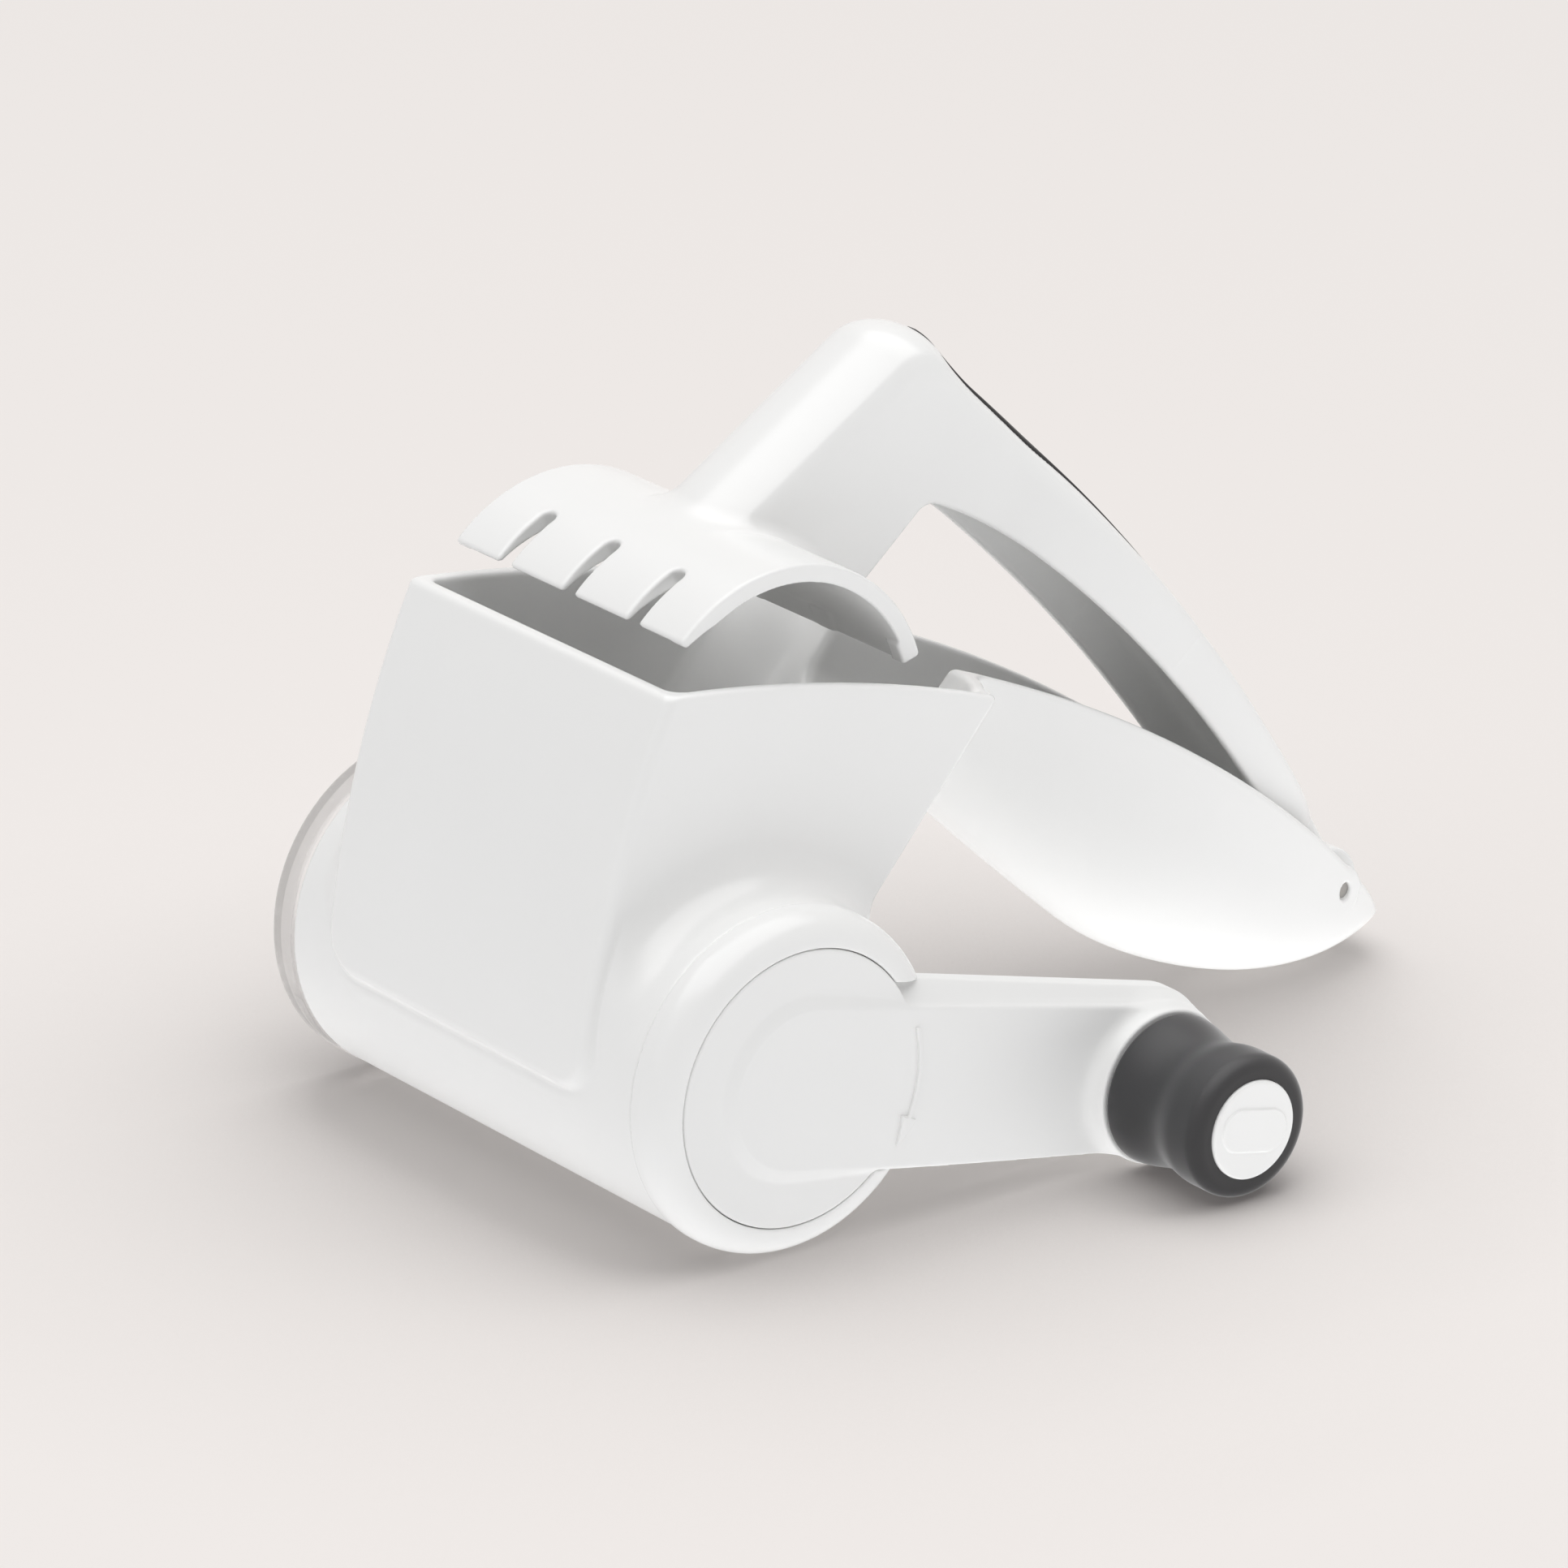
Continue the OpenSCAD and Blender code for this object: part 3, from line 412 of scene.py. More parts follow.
def clearStyrene():
    # Crystal polystyrene: nearly colourless, its edges read grey by refraction
    c = styrene
    material, tree = newMaterial("clearStyrene")
    place = addNode(tree, "ShaderNodeTexCoord").outputs["Object"]
    flow = addNode(tree, "ShaderNodeTexNoise",
                   {"Scale": 1 / (c["flowMm"] * mm), "Detail": c["flowDetail"]}, {"Vector": place})
    gloss = addNode(tree, "ShaderNodeMapRange", {"To Min": c["gloss"][0], "To Max": c["gloss"][1]},
                    {"Value": flow.outputs["Fac"]})
    thick = addNode(tree, "ShaderNodeBsdfPrincipled", {
        "Base Color": linear(c["colour"]), "IOR": c["ior"], "Transmission Weight": c["through"]},
        {"Roughness": gloss.outputs["Result"]})
    thin = addNode(tree, "ShaderNodeBsdfTransparent")
    shader = addNode(tree, "ShaderNodeMixShader", {0: c["bare"]}, {1: thick.outputs[0], 2: thin.outputs[0]})
    closeMaterial(tree, shader)
    return material


rolled = {"squeeze": (1, 0.04, 1), "detail": 2.0, "glossShares": (0.75, 1.3), "bump": 0.2, "depthMm": 0.01}


def stainless(name, colour, roughness, scratchMm):
    # Cold-rolled stainless sheet: fine lines along the rolling direction stretch its highlights
    c = rolled
    material, tree = newMaterial(name)
    place = addNode(tree, "ShaderNodeTexCoord").outputs["Object"]
    squeezed = addNode(tree, "ShaderNodeMapping", {"Scale": c["squeeze"]}, {"Vector": place}).outputs[0]
    lines = addNode(tree, "ShaderNodeTexNoise", {"Scale": 1 / (scratchMm * mm), "Detail": c["detail"]},
                    {"Vector": squeezed}).outputs["Fac"]
    bright, dull = (roughness * share for share in c["glossShares"])
    gloss = addNode(tree, "ShaderNodeMapRange", {"To Min": bright, "To Max": dull}, {"Value": lines})
    bump = addNode(tree, "ShaderNodeBump", {"Strength": c["bump"], "Distance": c["depthMm"] * mm},
                   {"Height": lines})
    shader = addNode(tree, "ShaderNodeBsdfPrincipled", {"Base Color": linear(colour), "Metallic": 1.0},
                     {"Roughness": gloss.outputs["Result"], "Normal": bump.outputs["Normal"]})
    closeMaterial(tree, shader)
    return material


drumSteel = stainless("rolledStainlessSheet", "#C9C9C8", roughness=0.28, scratchMm=0.3)
pinSteel = stainless("drawnSteelPin", "#B4B4B2", roughness=0.35, scratchMm=0.2)
clear = clearStyrene()

slotMaterials = {
    "body_plastic": whiteAbs, "arm_plastic": whiteAbs, "crank_rim_plastic": whiteAbs,
    "crank_plastic": satinAbs, "cap_plastic": whiteAbs, "hub_plastic": nylon, "core_plastic": nylon,
    "grip_rubber": gripStrip, "sleeve_rubber": softTouch, "clear_plastic": clear,
    "drum_steel": drumSteel, "pin_steel": pinSteel, "screw_steel": pinSteel,
}
nodeSlots = {s["node"]: s["material_slot"] for s in frame["record"]["subparts"]}
for node, piece in frame["nodes"].items():
    for slot in range(len(piece.data.materials)):
        piece.data.materials[slot] = slotMaterials[nodeSlots[node]]


def dress(piece, body, node):  # a finished piece that stands for one CAD node
    piece.data.materials.clear()
    piece.data.materials.append(slotMaterials[nodeSlots[node]])
    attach(piece, body)
    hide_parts(node)
    return piece


print("stage: materials")


# Housing: hopper, barrel and trough handle in one moulding

body = {
    "boxLow": (-35.0, -32.0), "boxHigh": (179.5, 52.0, 70.0),  # the grid: low x and z, high x, y and z
    "barrelR": 30.3, "barrelWall": 2.1, "barrelHalf": 49.0, "barrelEdge": 0.4, "endTrim": 0.5,
    "hopperHalf": 37.6, "wall": 2.8, "frontR": 192.2, "edge": 2.2, "seam": 1.2,
    "backDeg": 50.3, "backOff": 10.0, "backEdge": 1.6, "backEven": 0.92,  # evens the bulged wall's distance
    "rimH": 65.9, "rimFallDeg": 7.3, "rimR": 293.0, "lip": 1.0,  # one arc tops hopper and handle
    "panelLow": -1.0, "panelCorner": 8.0, "panelProud": 1.8, "collar": 8.0, "collarEdge": 2.5,
    "wellCorner": 2.5, "wellBack": 2.0, "wellJoin": 2.4, "windowLow": 11.2, "windowEdge": 0.6,
    "shoulder": 8.6, "shoulderY": (37.6, 18.5),  # how far the back wall bulges, from where to where
    "handleHalf": 18.8, "handleFrom": 38.0, "handleAbove": 1.0, "leastDepth": 4.0, "roundShare": 0.62,
    "root": 6.0,
    "tailX": 176.3, "tailR": 27.0, "planMid": 0.56, "power": 2.3,
    "tailFull": 1.2, "fullRun": 45.0,  # the section gets squarer towards the tail, over this run
    "bellyX": 157.0, "bellyR": 83.0, "bellyDeg": 40.5,
    "troughWall": 2.3, "troughFrom": 36.0, "troughAbove": 8.0, "troughRound": 0.42,
    "eyeR": 7.4, "eyeHalf": 8.2, "eyeGap": 0.3, "eyeCorner": 0.4, "eyeEdge": 0.3,
    "bossR": 4.5, "bossIn": 1.0, "bossJoin": 0.6, "pinR": 1.6, "pinGap": 0.03, "pinEdge": 0.3,
}
rimCentre = (-body["rimR"] * math.sin(math.radians(body["rimFallDeg"])),
             body["rimH"] - body["rimR"] * math.cos(math.radians(body["rimFallDeg"])))


def rimZ(x):  # top of the hopper's rim and the handle's edges
    return rimCentre[1] + np.sqrt(body["rimR"] ** 2 - (x - rimCentre[0]) ** 2)


def underZ(x):  # underside of the handle: a slope, the belly's arc and the tail's arc
    b = body
    deg = math.radians(b["bellyDeg"])
    slopeX = b["bellyX"] - b["bellyR"] * math.sin(deg)
    slopeZ = -b["barrelR"] + b["bellyR"] * (1 - math.cos(deg))
    slope = slopeZ + (slopeX - x) * math.tan(deg)
    belly = -b["barrelR"] + b["bellyR"] - np.sqrt(np.maximum(b["bellyR"] ** 2 - (b["bellyX"] - x) ** 2, 0))
    tail = -b["barrelR"] + b["tailR"] - np.sqrt(np.maximum(b["tailR"] ** 2 - (x - b["bellyX"]) ** 2, 0))
    return np.where(x > b["bellyX"], tail, np.where(x > slopeX, belly, slope))


def handleField(x, y, z, inset, share, above):  # below 0 inside the handle's rounded boat form
    b = body
    mid = b["tailX"] * b["planMid"]
    low = underZ(x) + inset
    depth = share * (np.maximum(rimZ(np.minimum(x, b["tailX"])) - low, b["leastDepth"]) + above)
    u, v = np.abs(x - mid) / (b["tailX"] - mid - inset), np.abs(y) / (b["handleHalf"] - inset)
    plan = (u ** b["power"] + v ** b["power"] + 1e-9) ** (1 / b["power"])
    down = np.maximum(0, low + depth - z) / depth
    full = 2 + b["tailFull"] * smoothStep(b["bellyX"] - b["fullRun"], b["bellyX"], x)
    return (plan ** full + down ** full) ** (1 / full) - 1


def evened(field, step, least=0.01):  # turns a field into distance near its surface
    slope = np.gradient(field, step)
    return field / np.maximum(np.sqrt(sum(s * s for s in slope)), least)


def makeHousing(step=0.5):
    b = body
    low = (b["boxLow"][0], -step / 2, b["boxLow"][1])
    x, y, z = axes(low, b["boxHigh"], step)
    fromHinge = np.hypot(x - hinge[0], z - hinge[2])
    fromAxis = np.hypot(x, z)
    deg = math.radians(b["backDeg"])
    slope = x * math.sin(deg) - z * math.cos(deg)
    front, side = fromHinge - b["frontR"], y - b["hopperHalf"]
    rim = np.hypot(x - rimCentre[0], z - rimCentre[1]) - b["rimR"]
    reach = np.clip((b["shoulderY"][0] - y) / (b["shoulderY"][0] - b["shoulderY"][1]), 0, 1)
    back = slope - b["backOff"] - b["shoulder"] * (0.5 - 0.5 * np.cos(math.pi * reach))
    panel = meet(side, b["panelLow"] - z, b["panelCorner"])
    hopper = meet(meet(front, panel, b["edge"]), back * b["backEven"], b["backEdge"])
    barrel = meet(fromAxis - b["barrelR"], y - b["barrelHalf"], b["barrelEdge"])
    handle = evened(handleField(x, y, z, 0, b["roundShare"], b["handleAbove"]), step)
    handle = np.maximum(handle, b["handleFrom"] - x)
    collar = meet(join(hopper, barrel, b["collar"]), front + b["panelProud"], b["collarEdge"])
    shell = np.minimum(join(hopper, barrel, b["seam"]), collar)
    shell = join(shell, handle, b["root"])
    shell = np.where(y > b["barrelHalf"] + b["endTrim"], np.maximum(shell, y - b["barrelHalf"]), shell)
    bore = fromAxis - (b["barrelR"] - b["barrelWall"])
    well = meet(meet(front + b["wall"], side + b["wall"], b["wellCorner"]), back + b["wall"], b["wellBack"])
    well = meet(well, b["windowLow"] - z, b["windowEdge"])
    trough = evened(handleField(x, y, z, b["troughWall"], b["troughRound"], b["troughAbove"]), step)
    trough = np.maximum(trough, b["troughFrom"] - x)
    hollow = join(well, trough, b["wellJoin"])
    solid = meet(meet(shell, rim, b["lip"]), -hollow, b["lip"])
    solid = np.maximum(solid, -bore)
    room = meet(fromHinge - b["eyeR"] - b["eyeGap"], y - b["eyeHalf"] - b["eyeGap"], b["eyeCorner"])
    solid = cut(solid, room, b["eyeEdge"])
    tail = (hinge[0] - b["tailX"] * b["planMid"]) / (b["tailX"] * (1 - b["planMid"]))
    half = b["handleHalf"] * (1 - tail ** b["power"]) ** (1 / b["power"])
    between = np.maximum(b["eyeHalf"] + b["eyeGap"] - y, y - half + b["bossIn"])
    solid = join(solid, np.maximum(fromHinge - b["bossR"], between), b["bossJoin"])
    solid = meet(solid, b["pinR"] + b["pinGap"] - fromHinge, b["pinEdge"])
    piece = fieldPiece("housingMoulding", mirrored(solid), startOf(low, solid, step), step, keep=0.4)
    return dress(piece, "body", "housing")


makeHousing()
print("stage: housing")


# Press arm: drawn closed, then opened about the hinge

arm = {
    "boxLow": (-32.0, -24.0), "boxHigh": (170.0, 35.0, 74.0),  # the grid: low x and z, high x, y and z
    "liftDeg": 19.5, "stemHalf": 11.0, "stemLength": 50.0, "stemDeg": 52.7, "half": 15.5, "wall": 2.2,
    "depth": 14.5, "sink": 0.8, "proud": 5.0, "proudRun": 110.2, "proudPower": 2.6,
    "thumb": 2.2, "thumbX": 43.0, "thumbRun": 12.0, "tailRise": 2.3, "tailRun": 32.0,
    "throat": 2.4, "throatX": 62.3, "throatRun": 24.0, "bendX": 32.8, "bendR": 10.4,
    "crookR": 4.2, "crookLead": 5.2, "crookDegs": (150, 98), "heelShare": 1.3, "heelDeg": 1.0,
    "crown": 4.5, "backCrown": 3.4, "crownRun": 22.0, "crownShare": 0.9, "crownPast": 1.06,
    "foot": 3.0, "footShare": 0.24, "crease": 1.6, "lip": 0.8, "channelCorner": 1.5, "channelFrom": 12.0,
    "armMid": 105.4, "armEnd": 152.95, "power": 2.8, "blendPower": 8,
    "eyeR": 6.8, "eyeHalf": 8.2, "eyeRise": 3.4, "eyeRun": 22.0, "eyeEdge": 0.6, "eyeJoin": 0.8,
    "endShort": 1.0, "pinGap": 0.06,
    "plateR": 30.9, "plateT": 3.8, "plateHalf": 32.2, "plateBackDeg": 37.0, "plateFrontDeg": 155.0,
    "plateRound": 0.3, "endRound": 0.5, "tipRound": 0.6, "rootFillet": 2.5, "underDegs": (46, 146),
    "wrapDeg": -60,
    "slots": 3, "pitch": 18.2, "slotW": 3.3, "slotTopDeg": 134.5,
    "endRib": 3.0, "ribEdge": 0.8, "recess": 0.6, "bevel": 0.22, "bevelRun": 9.5,
}


def armTop(x):  # the closed arm's back, with the thumb's rise at the bend
    a = arm
    rise = a["proud"] * (np.maximum(0, hinge[0] - x) / a["proudRun"]) ** a["proudPower"]
    rise = rise + a["tailRise"] * smoothStep(hinge[0] - a["tailRun"], hinge[0], x)
    return rimZ(x) - a["sink"] + rise + a["thumb"] * (np.maximum(0, a["thumbX"] - x) / a["thumbRun"]) ** 2


def armLow(x):  # the closed arm's lower edge
    a = arm
    throat = a["throat"] * (np.maximum(0, a["throatX"] - x) / a["throatRun"]) ** 2
    rise = a["eyeRise"] * (np.maximum(0, x - hinge[0] + a["eyeRun"]) / a["eyeRun"]) ** 2
    return rimZ(x) - a["depth"] - throat + rise


def polar(r, deg):  # x and z of a point, with the angle counted from the handle upwards
    return np.array([r * math.cos(math.radians(deg)), r * math.sin(math.radians(deg))])


def armLines(nudge=0.5):  # outer and inner lines of the closed arm, from the plate to the hinge
    a = arm
    topAt = lambda x: np.array([x, float(armTop(x))])
    lowAt = lambda x: np.array([x, float(armLow(x))])
    bend, ahead = topAt(a["bendX"]), topAt(a["bendX"] + nudge)
    fall = -math.degrees(math.atan((ahead[1] - bend[1]) / nudge))
    stemDeg, backDeg = 90 + a["stemDeg"], 90 - fall
    centre = bend - polar(a["bendR"], backDeg)
    stemTop = centre + polar(a["bendR"], stemDeg)
    foot = stemTop - polar(a["stemLength"], a["stemDeg"])
    outer = [foot] + [stemTop * t + foot * (1 - t) for t in np.linspace(0.1, 0.95, 18)]
    outer += [centre + polar(a["bendR"], deg) for deg in np.linspace(stemDeg, backDeg, 20)]
    outer += [topAt(x) for x in np.linspace(a["bendX"] + 1, hinge[0] + 1, 90)]
    crookX = a["bendX"] + a["crookLead"]
    crook = lowAt(crookX) - np.array([0, a["crookR"]])
    heel = polar(a["plateR"] - a["heelShare"] * a["plateT"], a["plateBackDeg"] - a["heelDeg"])
    inner = [heel] + [crook + polar(a["crookR"], deg) for deg in np.linspace(*a["crookDegs"], 12)]
    inner += [lowAt(x) for x in np.linspace(crookX + 1, hinge[0] + 1, 80)]
    return np.array(outer), np.array(inner)


def lengthsAlong(line):  # mm from the first point of a line to each of its points
    return np.concatenate([[0], np.cumsum(np.hypot(*np.diff(line, axis=0).T))])


# Signed distance to a line of points, positive on its left, and the place along it in mm. Its ends run on.
def toLine(line, x, z, far=1e9):
    start, end = line[:-1], line[1:]
    along = lengthsAlong(line)
    best = np.full(x.shape, far)
    sign, place = np.zeros(x.shape), np.zeros(x.shape)
    for k in range(len(start)):
        d = end[k] - start[k]
        span = math.hypot(*d)
        px, pz = x - start[k][0], z - start[k][1]
        low = -far if k == 0 else 0
        high = far if k == len(start) - 1 else 1
        t = np.clip((px * d[0] + pz * d[1]) / span ** 2, low, high)
        away = np.hypot(px - t * d[0], pz - t * d[1])
        near = away < best
        best = np.where(near, away, best)
        sign = np.where(near, np.sign(d[0] * pz - d[1] * px), sign)
        place = np.where(near, along[k] + t * span, place)
    return best * sign, place


def armHalf(x):  # half the arm's width, from the stem over the widest place to the eye
    a = arm
    end = a["eyeHalf"] / a["half"]
    reach = (a["armEnd"] - a["armMid"]) / (1 - end ** a["power"]) ** (1 / a["power"])
    share = np.maximum(0, 1 - (np.abs(x - a["armMid"]) / reach) ** a["power"])
    wide = a["half"] * share ** (1 / a["power"])
    least = np.where(x < a["armMid"], a["stemHalf"], a["eyeHalf"])
    blend = (least ** a["blendPower"] + wide ** a["blendPower"]) ** (1 / a["blendPower"])
    beforeEye = np.where(x < a["armMid"], blend, np.maximum(wide, a["eyeHalf"]))
    return np.where(x > a["armEnd"], a["eyeHalf"], beforeEye)


# Depth under the arm's crowned skin and past its inner line, its half width, the place along it and its x
def armSection(x, y, z):
    a = arm
    outer, inner = armLines()
    flatX, flatZ = np.meshgrid(x[:, 0, 0].astype(float), z[0, 0].astype(float), indexing="ij")
    depth, place = toLine(outer, flatX, flatZ)
    beyond, _ = toLine(inner, flatX, flatZ)
    stem = a["stemLength"]
    reachX = np.interp(place, lengthsAlong(outer), outer[:, 0])
    half = np.where(place < stem, a["stemHalf"], armHalf(reachX))
    half = half + a["foot"] * np.maximum(0, a["footShare"] - place / stem) ** 2 / a["footShare"] ** 2
    crown = np.interp(place, [0, stem, stem + a["crownRun"]], [a["crown"], a["crown"], a["backCrown"]])
    flat = lambda f: f[:, None, :].astype(np.float32)
    depth, beyond, half, crown, place, reachX = map(flat, (depth, beyond, half, crown, place, reachX))
    full = a["crownShare"]
    u = np.minimum(y / half, a["crownPast"]) * full
    q, whole = np.sqrt(1 - u * u), 1 - math.sqrt(1 - full * full)
    bow = crown * (1 - q) / whole
    lean = np.sqrt(1 + (crown * full * u / (whole * half * q)) ** 2)
    return (bow + depth) / lean, -beyond, half, place, reachX


strip = {
    "boxLow": (26.0, 24.0), "boxHigh": (116.0, 10.0, 74.0),
    "fromX": 30.0, "toX": 112.0, "half": 8.5, "proud": 0.35, "deep": 0.95, "edge": 0.3, "gap": 0.1,
    "power": 3, "leastShare": 0.02,
}


def stripOutline(y, reachX):  # distance outside the soft strip's outline, seen square on
    g = strip
    t = np.clip((reachX - g["fromX"]) / (g["toX"] - g["fromX"]), 0, 1)
    half = g["half"] * np.sqrt(np.maximum(1 - np.abs(2 * t - 1) ** g["power"], g["leastShare"]))
    ends = np.maximum(g["fromX"] - reachX, reachX - g["toX"])
    return np.maximum(y - half, ends)


def plateField(y, fromAxis, angle):  # the arched plate with its slots, end ribs and bevelled teeth
    a = arm
    arc = lambda deg: np.radians(angle - deg) * (a["plateR"] - a["plateT"] / 2)
    rib = a["recess"] * smoothStep(0, a["ribEdge"], a["plateHalf"] - a["endRib"] - y)
    bevel = a["bevel"] * (arc(a["plateFrontDeg"]) + a["bevelRun"])
    inside = a["plateR"] - a["plateT"] + rib + np.maximum(0, bevel)
    skin = meet(fromAxis - a["plateR"], inside - fromAxis, a["plateRound"])
    plate = meet(skin, np.maximum(arc(a["plateFrontDeg"]), -arc(a["plateBackDeg"])), a["tipRound"])
    plate = meet(plate, y - a["plateHalf"], a["endRound"])
    for k in range(a["slots"]):
        across = y - (k - (a["slots"] - 1) / 2) * a["pitch"]
        slot = np.hypot(np.minimum(arc(a["slotTopDeg"]), 0), across) - a["slotW"] / 2
        plate = cut(plate, slot, a["tipRound"])
    return plate


def makeArm(step=0.4):
    a = arm
    low = (a["boxLow"][0], -step / 2, a["boxLow"][1])
    x, y, z = axes(low, a["boxHigh"], step)
    fromAxis, fromHinge = np.hypot(x, z), np.hypot(x - hinge[0], z - hinge[2])
    angle = np.degrees(np.arctan2(z, x))
    angle = np.where(angle < a["wrapDeg"], angle + 360, angle)
    top, beyond, half, place, reachX = armSection(x, y, z)
    shell = meet(top, y - half, a["crease"])
    shell = meet(shell, beyond, a["lip"])
    channel = meet(top + a["wall"], y - half + a["wall"], a["channelCorner"])
    channel = np.maximum(channel, a["channelFrom"] - place)
    stem = cut(shell, channel, a["lip"])
    groove = np.maximum(stripOutline(y, reachX) - strip["gap"], -top - strip["deep"] - strip["gap"])
    stem = np.maximum(stem, -groove)
    stem = np.maximum(stem, x - hinge[0] + a["endShort"])
    stem = np.maximum(stem, a["plateR"] - a["plateT"] / 2 - fromAxis)
    solid = join(stem, plateField(y, fromAxis, angle), a["rootFillet"])
    under = a["plateR"] - a["plateT"] + a["recess"] - fromAxis
    overPlate = (angle > a["underDegs"][0]) & (angle < a["underDegs"][1])
    solid = np.maximum(solid, np.where(overPlate, under, -1))
    eye = meet(fromHinge - a["eyeR"], y - a["eyeHalf"], a["eyeEdge"])
    solid = join(solid, eye, a["eyeJoin"])
    solid = np.maximum(solid, body["pinR"] + a["pinGap"] - fromHinge)
    piece = fieldPiece("pressArmMoulding", mirrored(solid), startOf(low, solid, step), step,
                       turn=(math.radians(a["liftDeg"]), hinge), keep=0.5)
    return dress(piece, "arm", "press_arm")


def makeStrip(step=0.28):
    g = strip
    low = (g["boxLow"][0], -step / 2, g["boxLow"][1])
    x, y, z = axes(low, g["boxHigh"], step)
    top, *_, reachX = armSection(x, y, z)
    solid = meet(top - g["proud"], stripOutline(y, reachX), g["edge"])
    solid = np.maximum(solid, -top - g["deep"])
    piece = fieldPiece("armGripStrip", mirrored(solid), startOf(low, solid, step), step,
                       turn=(math.radians(arm["liftDeg"]), hinge), keep=0.4)
    return dress(piece, "arm", "arm_grip")


makeArm()
makeStrip()
print("stage: press arm")


# Crank: rim, disc and arm, drawn along X and turned down about the drum's axis

crank = {
    "deg": 12.0, "back": -49.2, "rimDepth": 7.4, "rimR": 30.8, "rimRound": 5.8, "rimEdge": 0.5,
    "discR": 24.8, "discT": 2.6, "discEdge": 0.35, "seam": 0.15, "seatGap": 0.1, "seamEdge": 0.25,
    "length": 79.1, "width": 34.8, "endWidth": 28.6, "rise": 1.8, "stepT": 4.1, "barEdge": 0.8,
    "backGap": 0.1, "backEdge": 0.6, "hollowEdge": 0.5, "screwR": 1.5,
    "faceW": 29.6, "faceEndW": 27.6, "faceT": 0.8, "faceFlare": 1.3, "faceEdge": 0.7, "faceSink": 1.6,
    "faceJoin": 1.0,
    "bossR": 14.15, "bossOut": 3.0, "bossEdge": 0.5, "bossSink": 0.6, "bossJoin": 2.8, "bossReach": 3,
    "pegR": 4.5,
    "hubBack": -44.5, "boreR": 28.14, "driveR": 6.93, "driveTo": -35.4, "rootDepth": 2.0,
    "margin": 1.0, "bossMargin": 1.2, "knobMargin": 17,  # how far the grids reach past the pieces
    "free": -9.0,  # so far inside that a limit has no say there
    "knobGap": 0.3,
}
crankFront = crank["back"] - crank["rimDepth"]
padFace = crankFront - crank["faceT"]
crankTurn = (math.radians(crank["deg"]), np.zeros(3))


def armShape(x, z, wide, endWide, rise=0.0):  # distance outside the crank's tapered, round-ended outline
    c = crank
    half = (wide + (endWide - wide) * np.clip(x / c["length"], 0, 1)) / 2
    beside = np.maximum(np.abs(z - rise) - half, -x)
    return np.where(x > c["length"], np.hypot(x - c["length"], z - rise) - endWide / 2, beside)


def makeCrankHub(step=0.3, reach=32.5):  # rim with the seat of disc and bar, spigot and six-sided drive
    c = crank
    low = (-reach, crankFront - c["margin"], -reach)
    x, y, z = axes(low, (reach, c["driveTo"] + c["margin"], reach), step)
    r = np.hypot(x, z)
    rim = meet(r - c["rimR"], crankFront - y, c["rimRound"])
    rim = meet(rim, y - c["back"], c["rimEdge"])
    seat = np.maximum(r - c["discR"] - c["seam"], y - crankFront - c["discT"] - c["seatGap"])
    path = armShape(x, z, c["width"] + 2 * c["seam"], c["endWidth"] + 2 * c["seam"], c["rise"])
    path = np.maximum(path, c["discR"] - r)
    solid = cut(rim, np.minimum(seat, path), c["seamEdge"])
    root = c["back"] - c["rootDepth"] - y
    spigot = np.maximum(r - c["boreR"], np.maximum(root, y - c["hubBack"]))
    six = np.maximum.reduce([np.abs(x * math.cos(a) + z * math.sin(a)) for a in np.radians((30, 90, 150))])
    drive = np.maximum(six - c["driveR"] * math.cos(math.pi / 6), np.maximum(root, y - c["driveTo"]))
    solid = np.minimum(np.minimum(solid, spigot), drive)
    piece = fieldPiece("crankRim", solid, low, step, turn=crankTurn, keep=0.45)
    return dress(piece, "crank", "crank_hub")


